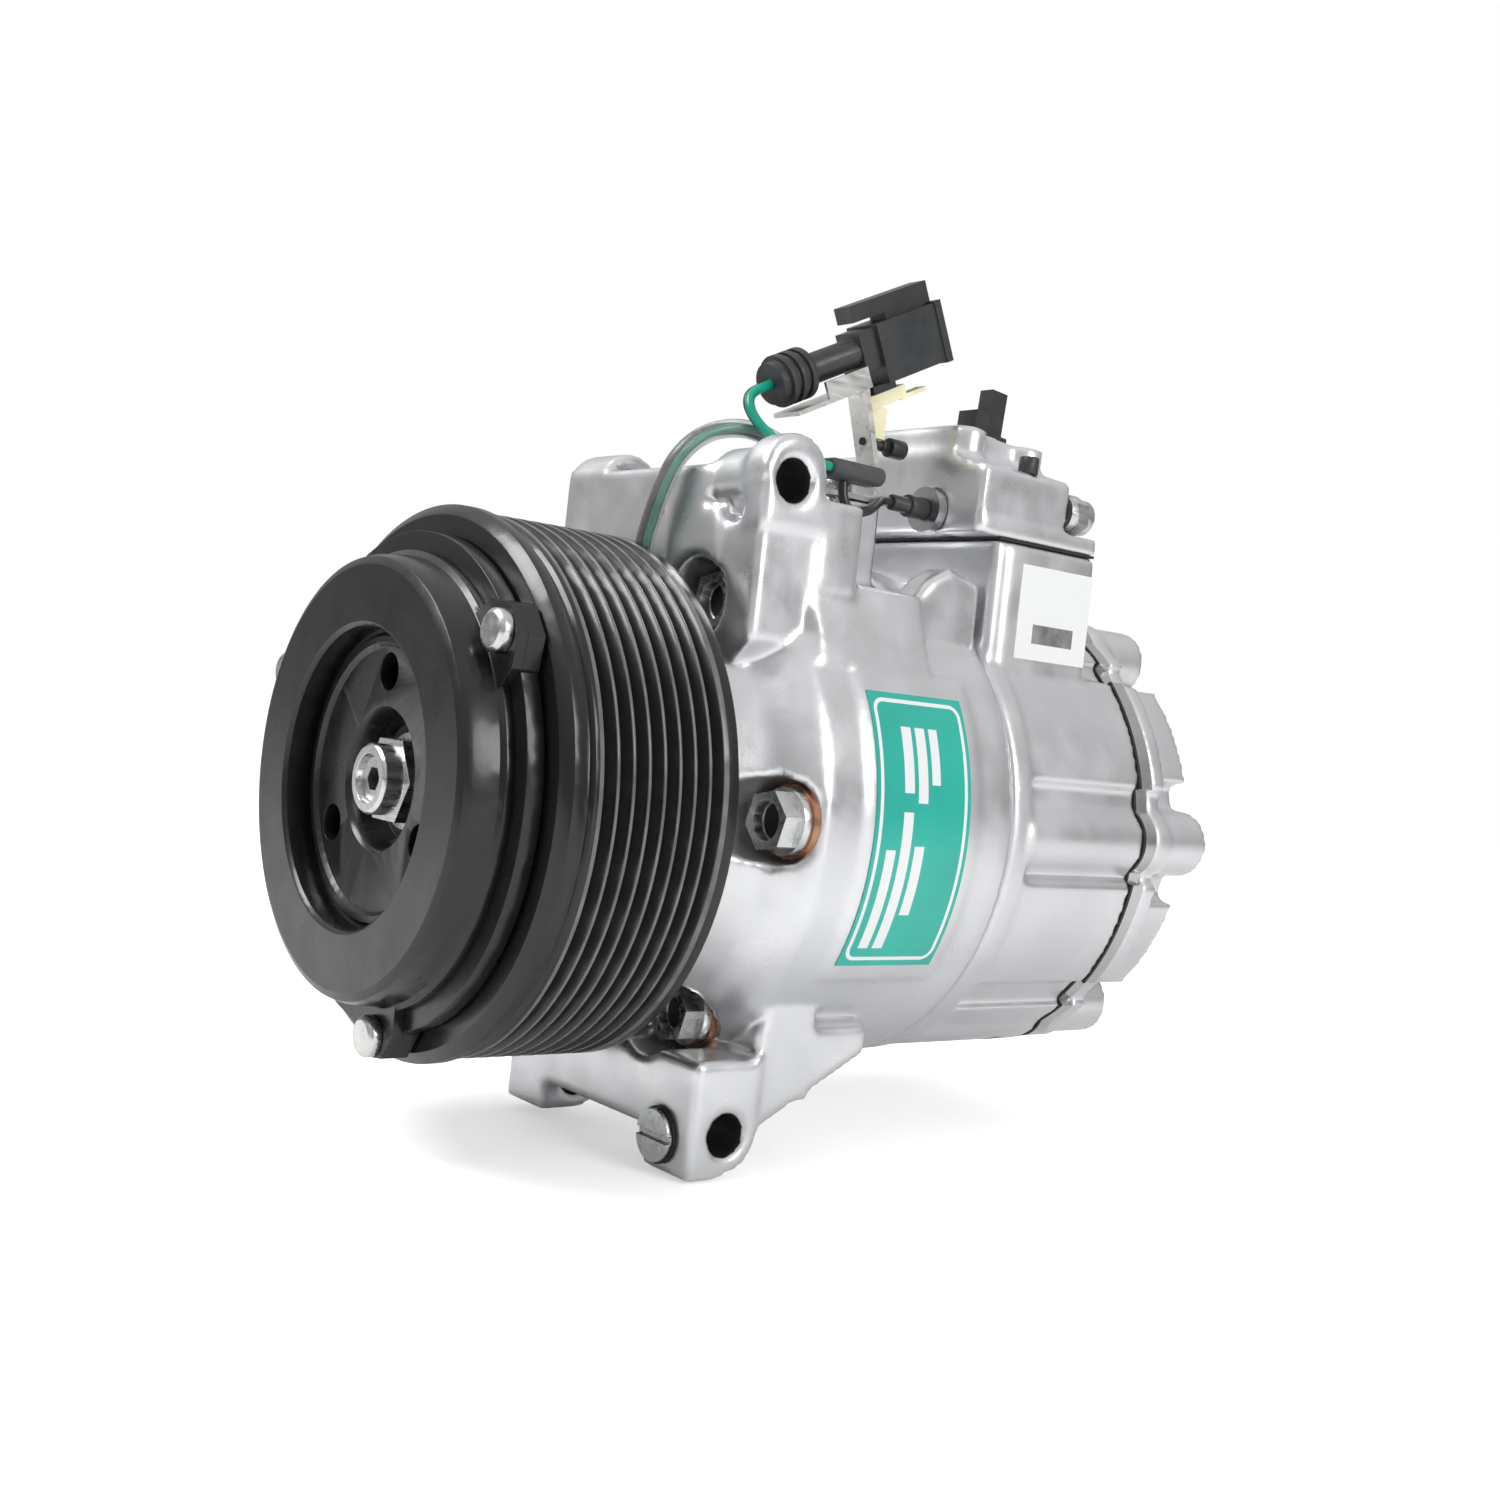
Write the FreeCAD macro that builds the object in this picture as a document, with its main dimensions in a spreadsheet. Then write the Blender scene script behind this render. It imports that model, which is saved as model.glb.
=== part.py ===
"""Belt-driven air-conditioning compressor with an electromagnetic clutch, as a parametric document.

The drive shaft lies along Y with the pulley at the -Y end, +Z is up, and the origin is on the shaft's axis
in the plane of the four transverse mounting bores. Sizes are millimetres and live in the sheet "Dims".
"""
import FreeCAD, Part
import math
import os
import Sketcher

SIZES = {
    # belt pulley
    "groove_pitch": 3.56,
    "groove_count": 8,
    "crest_radius": 56.07,
    "groove_root_radius": 53.2,
    "first_crest": -46.9,
    "pulley_front": -55.3,
    "pulley_rear": -14.6,
    "pulley_pocket_radius": 47.6,
    "pulley_hub_radius": 29.8,
    # pulley bearing
    "bearing_bore": 17.5,
    "bearing_outer": 27.5,
    "bearing_front": -49.8,
    "bearing_rear": -29.8,
    "ball_circle": 22.5,
    "ball_radius": 3.6,
    "ball_count": 12,
    # clutch
    "cup_front": -69.3,
    "cup_rear": -59.6,
    "cup_radius": 44.7,
    "cup_mouth_radius": 30.25,
    "hub_rim_radius": 29.6,
    "hub_face": -63.3,
    "hub_seat": -55.3,
    "air_gap": 0.55,
    "armature_radius": 50.5,
    "armature_bore": 28.0,
    "rivet_circle": 51.0,
    "rivet_count": 3,
    "coil_front": -46.0,
    "coil_rear": -17.5,
    # front housing
    "nose_front": -52.5,
    "housing_radius": 58.6,
    "shoulder": 6.2,
    "joint": 61.15,
    "crankcase_radius": 54.2,
    "crankcase_front": 12.0,
    # mounting beams
    "ear_right": 45.0,
    "ear_left": -27.8,
    "upper_bore": 68.8,
    "lower_bore": 65.5,
    "mount_bore": 4.5,
    "beam_front": -9.3,
    "beam_rear": 7.7,
    # through bolts
    "bolt_circle": 50.5,
    "bolt_count": 6,
    "bolt_shank": 3.4,
    "bolt_hole": 3.9,
    "bolt_seat": 4.7,
    "bolt_end": 126.0,
    "column_radius": 8.6,
    "washer_radius": 7.65,
    "washer_thick": 1.6,
    # cylinder block, valve plate and rear head
    "block_radius": 55.6,
    "block_lobe_radius": 57.6,
    "block_rear": 106.0,
    "plate_front": 107.2,
    "plate_rear": 110.2,
    "cylinder_circle": 32.5,
    "cylinder_radius": 14.5,
    "piston_radius": 14.45,
    "head_front": 110.6,
    "head_rear": 131.7,
    # swash drive
    "shaft_radius": 8.5,
    "swash_plane": 38.0,
    "swash_radius": 42.0,
    "swash_half": 3.5,
    "shoe_radius": 7.0,
    # port block
    "port_floor": 66.0,
    "foot_top": 70.4,
    "port_top": 82.0,
    "port_right": 44.0,
    "port_left": -16.0,
    "port_front": 54.5,
    "port_rear": 94.7,
    "check_x": 6.0,
    "check_y": 72.0,
    "suction_x": -9.0,
    "suction_y": 76.3,
    "suction_radius": 5.5,
    # control valve
    "valve_x": 28.6,
    "valve_z": 71.6,
    "valve_radius": 4.6,
    # wire connector
    "plug_x": 24.0,
    "plug_y": 27.0,
    "plug_z": 101.5,
    "plug_tilt": 27.0,
}

doc = FreeCAD.newDocument("Compressor")
sheet = doc.addObject("Spreadsheet::Sheet", "Dims")
for row, (alias, size) in enumerate(SIZES.items(), start=1):
    sheet.set("A%d" % row, alias)
    sheet.set("B%d" % row, str(size))
    sheet.setAlias("B%d" % row, alias)
doc.recompute()

V = FreeCAD.Vector
X_AXIS, Y_AXIS, Z_AXIS = V(1, 0, 0), V(0, 1, 0), V(0, 0, 1)
NODES = []
counter = {}


def read(formula):
    """Number of a formula such as "shoulder + 2*air_gap - 1.5"."""
    total = 0.0
    for term in str(formula).replace(" ", "").replace("-", "+-").split("+"):
        if not term:
            continue
        sign = -1.0 if term.startswith("-") else 1.0
        product = 1.0
        for factor in term.lstrip("-").split("*"):
            product *= SIZES[factor] if factor in SIZES else float(factor)
        total += sign * product
    return total


def bound(formula):
    """The same formula for the expression engine, with each alias read from the sheet."""
    words = str(formula).replace("+", " + ").replace("-", " - ").replace("*", " * ").split()
    return " ".join("Dims." + word if word in SIZES else word for word in words)


def unique(stem):
    """An object name that no other object has."""
    counter[stem] = counter.get(stem, 0) + 1
    return "%s_%d" % (stem, counter[stem])


def node(obj, label):
    """Gives an object the name of the sub-part that it is, and hands it out as one."""
    obj.Label = label
    NODES.append(obj)
    return obj


# ---------------------------------------------------------------- primitives
def box(x0, x1, y0, y1, z0, z1):
    """Box between three pairs of bound planes."""
    obj = doc.addObject("Part::Box", unique("block"))
    for side, low, high in (("Length", x0, x1), ("Width", y0, y1), ("Height", z0, z1)):
        obj.setExpression(side, "(%s) - (%s)" % (bound(high), bound(low)))
    for letter, low in zip("xyz", (x0, y0, z0)):
        obj.setExpression(".Placement.Base." + letter, bound(low))
    return obj


def rod(axis, radius, start, end, a=0, b=0, sweep=360, turn=0):
    """Cylinder along an axis letter from start to end; a and b are its other two coordinates in XYZ order.

    A sweep under 360 makes a wedge of it that begins turn degrees from +X towards +Z (rods along Y only).
    """
    obj = doc.addObject("Part::Cylinder", unique("rod"))
    obj.setExpression("Radius", bound(radius))
    obj.setExpression("Height", "(%s) - (%s)" % (bound(end), bound(start)))
    obj.Angle = sweep
    if axis == "x":
        obj.Placement = FreeCAD.Placement(V(), FreeCAD.Rotation(Y_AXIS, 90))
        places = (start, a, b)
    elif axis == "y":
        spin = FreeCAD.Rotation(Y_AXIS, -turn)
        obj.Placement = FreeCAD.Placement(V(), spin.multiply(FreeCAD.Rotation(X_AXIS, -90)))
        places = (a, start, b)
        if sweep != 360:
            spin = FreeCAD.Rotation(Y_AXIS, -turn - sweep)
            obj.Placement = FreeCAD.Placement(V(), spin.multiply(FreeCAD.Rotation(X_AXIS, -90)))
    else:
        places = (a, b, start)
    for letter, place in zip("xyz", places):
        obj.setExpression(".Placement.Base." + letter, bound(place))
    return obj


def fuse(*parts):
    """Union of several objects; a single one is wrapped, so that it can be placed as a whole."""
    if len(parts) == 1:
        obj = doc.addObject("Part::Compound", unique("wrap"))
        obj.Links = list(parts)
        return obj
    obj = doc.addObject("Part::MultiFuse", unique("union"))
    obj.Shapes = list(parts)
    obj.Refine = True
    return obj


def cut(base, *tools):
    """Base with every tool taken away."""
    obj = doc.addObject("Part::Cut", unique("cut"))
    obj.Base = base
    obj.Tool = tools[0] if len(tools) == 1 else fuse(*tools)
    return obj


# ---------------------------------------------------------------- sketched bodies
def plane_of(body, role):
    """One of a body's own origin planes or axes."""
    return [item for item in body.Origin.OriginFeatures if item.Role == role][0]


def sketch(body, role, outlines, lift=None, axis_at=None):
    """Sketch of closed outlines on an origin plane, each corner bound by two dimensions.

    lift moves the sketch along its plane's normal, and axis_at adds a construction line at that abscissa.
    """
    obj = body.newObject("Sketcher::SketchObject", unique("outline"))
    obj.AttachmentSupport = [(plane_of(body, role), "")]
    obj.MapMode = "FlatFace"
    if lift is not None:
        obj.setExpression(".AttachmentOffset.Base.z", bound(lift))
    corner = 0
    for points in outlines:
        spots = [V(read(u), read(v), 0) for u, v in points]
        first = obj.GeometryCount
        for i, spot in enumerate(spots):
            obj.addGeometry(Part.LineSegment(spot, spots[(i + 1) % len(spots)]), False)
        for i in range(len(spots)):
            following = first + (i + 1) % len(spots)
            obj.addConstraint(Sketcher.Constraint("Coincident", first + i, 2, following, 1))
        for i, (u, v) in enumerate(points):
            for kind, formula in (("DistanceX", u), ("DistanceY", v)):
                name = "%s%d" % (kind[-1].lower(), corner)
                number = obj.addConstraint(Sketcher.Constraint(kind, -1, 1, first + i, 1, read(formula)))
                obj.renameConstraint(number, name)
                obj.setExpression("Constraints." + name, bound(formula))
            corner += 1
    if axis_at is not None:
        line = Part.LineSegment(V(read(axis_at), 0, 0), V(read(axis_at), 10, 0))
        number = obj.addGeometry(line, True)
        obj.addConstraint(Sketcher.Constraint("Vertical", number))
        place = obj.addConstraint(Sketcher.Constraint("DistanceX", -1, 1, number, 1, read(axis_at)))
        obj.renameConstraint(place, "axis")
        obj.setExpression("Constraints.axis", bound(axis_at))
    return obj


def new_body():
    """Empty body whose result may be several separate solids."""
    obj = doc.addObject("PartDesign::Body", unique("body"))
    obj.AllowCompound = True
    return obj


def turned(*outlines, axis_at=None, around=0):
    """Body turned from (radius, y) outlines around the Y axis, or around a line parallel to it."""
    body = new_body()
    profile = sketch(body, "XY_Plane", outlines, axis_at=axis_at)
    feature = body.newObject("PartDesign::Revolution", unique("turned"))
    feature.Profile = profile
    feature.ReferenceAxis = (profile, ["V_Axis" if axis_at is None else "Axis0"])
    feature.Angle = 360
    body.Tip = feature
    body.Placement.Rotation = FreeCAD.Rotation(Y_AXIS, -around)
    return body


def ring(inner, outer, y0, y1):
    """Turned body of rectangular section."""
    return turned([(inner, y0), (outer, y0), (outer, y1), (inner, y1)])


def around_shaft(body, count):
    """Polar pattern of a body's last feature around the Y axis."""
    doc.recompute()
    pattern = body.newObject("PartDesign::PolarPattern", unique("pattern"))
    pattern.Originals = [body.Tip]
    pattern.Axis = (plane_of(body, "Y_Axis"), [""])
    pattern.Angle = 360
    pattern.setExpression("Occurrences", bound(count))
    body.Tip = pattern
    return body


def polygon(radius, sides, a, b, turn=0):
    """Corners of a regular polygon about (a, b), radius to the corners."""
    spots = []
    for i in range(sides):
        angle = math.radians(turn + 360.0 * i / sides)
        spots.append((round(a + radius * math.cos(angle), 4), round(b + radius * math.sin(angle), 4)))
    return spots


def slab(role, outlines, start, thickness):
    """Body padded from outlines on an origin plane, from start along the plane's normal."""
    body = new_body()
    profile = sketch(body, role, outlines, lift=start)
    pad = body.newObject("PartDesign::Pad", unique("pad"))
    pad.Profile = profile
    pad.setExpression("Length", bound(thickness))
    body.Tip = pad
    return body


def moved(obj, offset=V(), axis=Y_AXIS, angle=0.0, about=V()):
    """Turns an object about a line through a point, then shifts it, on top of its own placement."""
    turn = FreeCAD.Placement(offset, FreeCAD.Rotation(axis, angle), about)
    obj.Placement = turn.multiply(obj.Placement)
    return obj


def copies_around(obj, count, first_angle=0.0, label=None):
    """Separate solids made by turning one object about the Y axis in equal steps."""
    doc.recompute()
    solids = []
    for i in range(count):
        for solid in obj.Shape.Solids:
            turned_solid = solid.copy()
            turned_solid.rotate(V(), Y_AXIS, -(first_angle + 360.0 * i / count))
            solids.append(turned_solid)
    group = doc.addObject("Part::Feature", unique("group"))
    group.Shape = Part.makeCompound(solids)
    group.Placement = FreeCAD.Placement()
    return node(group, label)


# ---------------------------------------------------------------- clutch
EAR = [(43, -9), (50.5, -8), (55.3, -3.5), (55.3, 3.5), (50.5, 8), (43, 9)]
EAR_ANGLE = 37.5


def ears(start, thickness):
    """Three flat lugs spaced round the shaft, from a plane forwards."""
    lugs = around_shaft(slab("XZ_Plane", [EAR], start, thickness), "rivet_count")
    lugs.Placement.Rotation = FreeCAD.Rotation(Y_AXIS, -EAR_ANGLE)
    return lugs


def rivet_holes():
    """Shank holes of the three clutch rivets."""
    holes = turned([("rivet_circle", "cup_rear - 3"), ("rivet_circle + 2.4", "cup_rear - 3"),
                    ("rivet_circle + 2.4", "pulley_front"), ("rivet_circle", "pulley_front")],
                   axis_at="rivet_circle", around=EAR_ANGLE)
    return around_shaft(holes, "rivet_count")


def make_clutch():
    """Cup, damper ring, hub, nut, armature and rivets."""
    lip = "cup_radius + 1.7"
    shell = turned([("cup_mouth_radius", "cup_front + 0.8"), ("cup_mouth_radius + 0.8", "cup_front"),
                    ("cup_radius - 2.2", "cup_front"), ("cup_radius - 0.6", "cup_front + 0.7"),
                    ("cup_radius", "cup_front + 2.2"), ("cup_radius + 0.6", "cup_rear - 2.4"),
                    (lip, "cup_rear - 1.7"), (lip, "cup_rear"), ("cup_radius - 2.2", "cup_rear"),
                    ("cup_radius - 2.6", "cup_front + 2.7"), ("cup_mouth_radius + 2.4", "cup_front + 2.7"),
                    ("cup_mouth_radius + 2.4", "cup_front + 6"), ("cup_mouth_radius", "cup_front + 6")])
    node(cut(fuse(shell, ears("0 - cup_rear", 2.2)), rivet_holes()), "clutch_cup")
    node(turned([("hub_rim_radius + 0.05", "cup_front + 6.8"), ("cup_mouth_radius + 2.4", "cup_front + 6"),
                 ("cup_mouth_radius + 2.4", "cup_front + 2.7"), ("cup_radius - 2.6", "cup_front + 2.7"),
                 ("cup_radius - 2.3", "cup_rear - 0.4"), ("hub_rim_radius + 0.05", "cup_rear - 0.6")]),
         "rubber_damper")
    web = turned([("5.05", "hub_seat"), ("12.4", "hub_seat"), ("14", "hub_face + 1.6"),
                  ("14.8", "hub_face + 0.6"), ("26.6", "hub_face + 0.4"), ("27.4", "hub_face - 0.5"),
                  ("28.8", "hub_face - 0.5"), ("hub_rim_radius", "hub_face + 0.3"),
                  ("hub_rim_radius", "hub_face + 3"), ("17.2", "hub_face + 3.4"), ("15", "hub_seat + 1.8"),
                  ("10.5", "hub_seat + 2.4"), ("10.5", "nose_front + 3.5"), ("6.02", "nose_front + 3.5"),
                  ("6.02", "hub_seat + 1.5"), ("5.05", "hub_seat + 1.5")])
    holes = [rod("y", 3.85, "hub_face - 2", "hub_face + 6", round(21.7 * math.cos(math.radians(angle)), 3),
                 round(21.7 * math.sin(math.radians(angle)), 3)) for angle in (90, 210, 330)]
    node(cut(web, *holes), "hub_plate")
    hexagon = slab("XZ_Plane", [polygon(9.5, 6, 0, 0)], "1.4 - hub_seat", 4.2)
    flange = turned([(0, "hub_seat - 1.4"), (9.9, "hub_seat - 1.4"), (10.2, "hub_seat"), (0, "hub_seat")])
    collar = turned([(0, "hub_seat - 10"), (6.6, "hub_seat - 10"), (7.2, "hub_seat - 9.4"),
                     (7.2, "hub_seat - 5"), (0, "hub_seat - 5")])
    node(cut(fuse(hexagon, flange, collar), rod("y", 5, "hub_seat - 12", "hub_seat + 1")), "hub_nut")
    disc = ring("armature_bore", "armature_radius", "cup_rear", "pulley_front - air_gap")
    lobes = ears("air_gap - pulley_front", "pulley_front - air_gap - cup_rear")
    node(cut(fuse(disc, lobes), rivet_holes()), "armature_plate")
    rivet = turned([("rivet_circle", "cup_rear - 5"), ("rivet_circle + 3.3", "cup_rear - 5"),
                    ("rivet_circle + 4.2", "cup_rear - 4.2"), ("rivet_circle + 4.2", "cup_rear - 2.2"),
                    ("rivet_circle + 2.4", "cup_rear - 2.2"), ("rivet_circle + 2.4", "pulley_front - air_gap - 0.3"),
                    ("rivet_circle", "pulley_front - air_gap - 0.3")], axis_at="rivet_circle", around=EAR_ANGLE)
    node(around_shaft(rivet, "rivet_count"), "clutch_rivets")


# ---------------------------------------------------------------- pulley, bearing and coil
def make_pulley():
    """Ribbed pulley with a web in front of the coil pocket."""
    body = turned([("bearing_outer", "bearing_front - 1.6"), ("pulley_hub_radius + 2", "pulley_front + 1.5"),
                   ("pulley_hub_radius + 3", "pulley_front"), ("crest_radius - 1.6", "pulley_front"),
                   ("crest_radius + 0.7", "pulley_front + 1.8"), ("crest_radius + 0.7", "pulley_front + 4.2"),
                   ("crest_radius - 0.9", "pulley_front + 5"), ("crest_radius - 0.9", "pulley_front + 6.1"),
                   ("crest_radius", "pulley_front + 6.8"), ("crest_radius", "pulley_rear - 0.6"),
                   ("crest_radius - 0.6", "pulley_rear"), ("pulley_pocket_radius + 0.6", "pulley_rear"),
                   ("pulley_pocket_radius", "pulley_rear - 1"), ("pulley_pocket_radius", "pulley_front + 7"),
                   ("pulley_hub_radius", "pulley_front + 7"), ("pulley_hub_radius", "bearing_rear + 2.5"),
                   ("bearing_outer - 1.8", "bearing_rear + 2.5"), ("bearing_outer - 1.8", "bearing_rear"),
                   ("bearing_outer", "bearing_rear")])
    doc.recompute()
    flat = 0.3
    profile = sketch(body, "XY_Plane", [[
        ("crest_radius + 0.3", "first_crest + %s" % flat), ("crest_radius", "first_crest + %s" % flat),
        ("groove_root_radius", "first_crest + 0.5*groove_pitch - 0.45"),
        ("groove_root_radius", "first_crest + 0.5*groove_pitch + 0.45"),
        ("crest_radius", "first_crest + groove_pitch - %s" % flat),
        ("crest_radius + 0.3", "first_crest + groove_pitch - %s" % flat)]])
    groove = body.newObject("PartDesign::Groove", unique("groove"))
    groove.Profile = profile
    groove.ReferenceAxis = (profile, ["V_Axis"])
    groove.Angle = 360
    body.Tip = groove
    doc.recompute()
    pattern = body.newObject("PartDesign::LinearPattern", unique("grooves"))
    pattern.Originals = [groove]
    pattern.Direction = (plane_of(body, "Y_Axis"), [""])
    pattern.setExpression("Length", bound("groove_count*groove_pitch - groove_pitch"))
    pattern.setExpression("Occurrences", bound("groove_count"))
    body.Tip = pattern
    node(body, "pulley")


def make_bearing():
    """Ball bearing between the pulley and the nose of the front housing; returns its snap ring."""
    middle = "0.5*bearing_front + 0.5*bearing_rear"
    race = doc.addObject("Part::Torus", unique("race"))
    race.setExpression("Radius1", bound("ball_circle"))
    race.setExpression("Radius2", bound("ball_radius + 0.04"))
    race.Placement = FreeCAD.Placement(V(), FreeCAD.Rotation(X_AXIS, -90))
    race.setExpression(".Placement.Base.y", bound(middle))
    outer = ring("ball_circle + 2.4", "bearing_outer", "bearing_front", "bearing_rear")
    inner = ring("bearing_bore", "ball_circle - 2.4", "bearing_front", "bearing_rear")
    node(cut(outer, race), "bearing_outer_ring")
    node(cut(inner, race), "bearing_inner_ring")
    ball = doc.addObject("Part::Sphere", unique("ball"))
    ball.setExpression("Radius", bound("ball_radius"))
    ball.setExpression(".Placement.Base.x", bound("ball_circle"))
    ball.setExpression(".Placement.Base.y", bound(middle))
    copies_around(ball, SIZES["ball_count"], 0.0, "bearing_balls")
    seals = [ring("ball_circle - 2.1", "ball_circle + 2.4", start, start + " + 1.2")
             for start in ("bearing_front + 0.4", "bearing_rear - 1.6")]
    node(fuse(*seals), "bearing_seals")
    gap = box(-2.5, 2.5, "bearing_front - 2", "bearing_front + 1", 14, 21)
    clip = ring("bearing_bore - 1", "bearing_bore + 1.8", "bearing_front - 1.4", "bearing_front")
    return cut(clip, gap)


def make_coil():
    """Field coil: steel shell and potted winding; returns the snap ring that holds it."""
    shell = turned([(20.4, "coil_rear - 2.6"), (30.4, "coil_rear - 2.6"), (30.4, "coil_front"),
                    (33, "coil_front"), (33, "coil_rear - 3.4"), (43.4, "coil_rear - 3.4"),
                    (43.4, "coil_front"), (46.6, "coil_front"), (46.6, "coil_rear"), (20.4, "coil_rear")])
    node(shell, "coil_shell")
    node(ring(33, 43.4, "coil_front + 1.2", "coil_rear - 3.4"), "coil_winding")
    clip = ring(19.4, 22.6, "coil_rear - 4", "coil_rear - 2.6")
    return cut(clip, box(-2.5, 2.5, -30, -10, 18, 24))


# ---------------------------------------------------------------- casings
def columns(radius, start, end):
    """Six round columns about the through bolts."""
    body = turned([("bolt_circle", start), ("bolt_circle + " + str(radius), start),
                   ("bolt_circle + " + str(radius), end), ("bolt_circle", end)], axis_at="bolt_circle")
    return around_shaft(body, "bolt_count")


LOBES = ((13, 28), (47, 86), (139, 28), (190, 28), (227, 86), (322, 28))


def lobed(start, end):
    """Outline shared by cylinder block, gasket, plates and rear head: a disc with columns and lobes."""
    lobes = [rod("y", "block_lobe_radius", start, end, sweep=sweep, turn=turn) for turn, sweep in LOBES]
    return fuse(rod("y", "block_radius", start, end), columns("column_radius", start, end), *lobes)


PORT_BOLTS = ((-10, 65), (-10, 90), (26, 89.5))


def make_front_housing():
    """Domed front casing with its nose, crankcase, two transverse mounting beams and label pad."""
    dome = turned([(0, "nose_front"), ("bearing_bore - 0.6", "nose_front"), ("bearing_bore", "nose_front + 0.6"),
                   ("bearing_bore", "bearing_rear"), (20.3, "bearing_rear"), (20.3, "coil_rear"),
                   (40, "coil_rear"), (42, "coil_rear + 3.5"), (46, "coil_rear + 7"), (50.5, "shoulder - 8.2"),
                   (55, "shoulder - 4.6"), (57.6, "shoulder - 1.8"), ("housing_radius", "shoulder"),
                   ("housing_radius", "joint - 4"), ("housing_radius - 0.7", "joint"), (0, "joint")])
    low = "0 - lower_bore"
    bosses = [rod("x", 8.3, "ear_right - 7.7", "ear_right", 0.5, "upper_bore + 1.5"),
              rod("x", 7.4, "ear_right - 19.3", "ear_right - 7", 0, "upper_bore"),
              rod("x", 8.2, "ear_left", "ear_left + 14.8", 0, "upper_bore"),
              rod("x", 8, "ear_right - 16", "ear_right", 0, low),
              rod("x", 7.5, "ear_left + 2.3", "ear_left + 17.5", 0, low)]
    beams = [box("ear_left + 1", "ear_right - 19.3", "beam_front + 1", "beam_front + 4.3", 46, "upper_bore + 3.2"),
             box("ear_left + 1", "ear_right - 14", "beam_front + 1", "beam_rear", 46, "upper_bore - 6"),
             box("ear_right - 7.7", "ear_right", "beam_front + 1.9", "beam_rear + 1", "upper_bore - 9.5",
                 "upper_bore + 1.5"),
             box("ear_right - 19", "ear_right - 7", -2, "beam_rear", 45, "upper_bore - 5.5"),
             box("ear_left", "ear_left + 14.8", "beam_front + 1", "beam_rear", "upper_bore - 18", "upper_bore"),
             box("ear_right - 15", "ear_right", "beam_rear + 1", "shoulder + 13.5", 48, "upper_bore - 2.3"),
             box("ear_left + 2.3", "ear_right", "beam_front", "beam_front + 4.3", low + " - 1", -50),
             box("ear_left + 2.3", "ear_right", "beam_front", "beam_rear", low + " + 5.5", -50),
             box("ear_left + 2.3", "ear_left + 17.5", "beam_front", 0, low + " - 7.5", -52),
             box("ear_right - 16", "ear_right", "beam_front", -0.5, low + " - 9", -56),
             box("ear_right - 17", "ear_right - 1", "beam_rear", "shoulder + 16", low + " + 6", -40)]
    cheek = slab("XZ_Plane", [[(26, "upper_bore - 9"), ("ear_right - 1", "upper_bore - 9"), ("ear_right - 1", 36),
                               (37, 30), (26, 36)]], "0 - beam_rear - 1", 15.8)
    deck = slab("XZ_Plane", [[(20, 40), (20, 50.5), (43, 50.5), (49.5, 33), (40, 25)]], -40, 32)
    web = slab("YZ_Plane", [[("beam_rear - 1", low + " - 0.5"), ("shoulder + 31", -50), ("shoulder + 31", -44),
                             ("beam_rear - 1", -44)]], "ear_right - 17", 16)
    lobe = slab("YZ_Plane", [[(37, 40), (60, 40), (60, 55), (50, 57.8), (44, 54.5), (37, 46)]], 34, 8)
    label_pad = rod("y", "housing_radius + 0.7", 17, 49, sweep=67, turn=-33.5)
    bracket_boss = fuse(box(18, 27, 24, 40, 44, 70.8), rod("z", 5, 44, 70.8, 24, 24))
    outside = fuse(dome, *bosses, *beams, cheek, deck, web, lobe, label_pad, bracket_boss)
    cavity = turned([(0, "crankcase_front"), (47, "crankcase_front"), ("crankcase_radius", "crankcase_front + 6"),
                     ("crankcase_radius", "joint + 1"), (0, "joint + 1")])
    bore = turned([(0, "nose_front - 1"), (12.5, "nose_front - 1"), (12.5, -32), (9.6, -32), (9.6, -12),
                   (11.5, -12), (11.5, "crankcase_front + 1"), (0, "crankcase_front + 1")])
    ring_groove = ring("crankcase_radius + 1", "crankcase_radius + 2.6", "joint - 1.4", "joint + 1")
    lead_slot = box(4.5, 13.5, "coil_rear - 1", -7, 37, 63)
    tools = [cavity, bore, ring_groove, lead_slot, columns("8.7", -30, "bolt_seat"),
             columns("bolt_hole", "bolt_seat - 1", "crankcase_front + 7"),
             rod("y", 4.4, "beam_front - 1", "beam_front + 3.8", 34.4, -67), rod("z", 2.5, 59.5, 72, 23, 30)]
    clip_groove = ring("bearing_bore - 1", "bearing_bore + 1", "bearing_front - 1.4", "bearing_front")
    coil_groove = ring(19.4, 21, "coil_rear - 4", "coil_rear - 2.6")
    for height in ("upper_bore", low):
        tools.append(rod("x", "mount_bore", "ear_left - 1", "ear_right + 1", 0, height))
    node(cut(outside, *tools, clip_groove, coil_groove), "front_housing")


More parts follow.
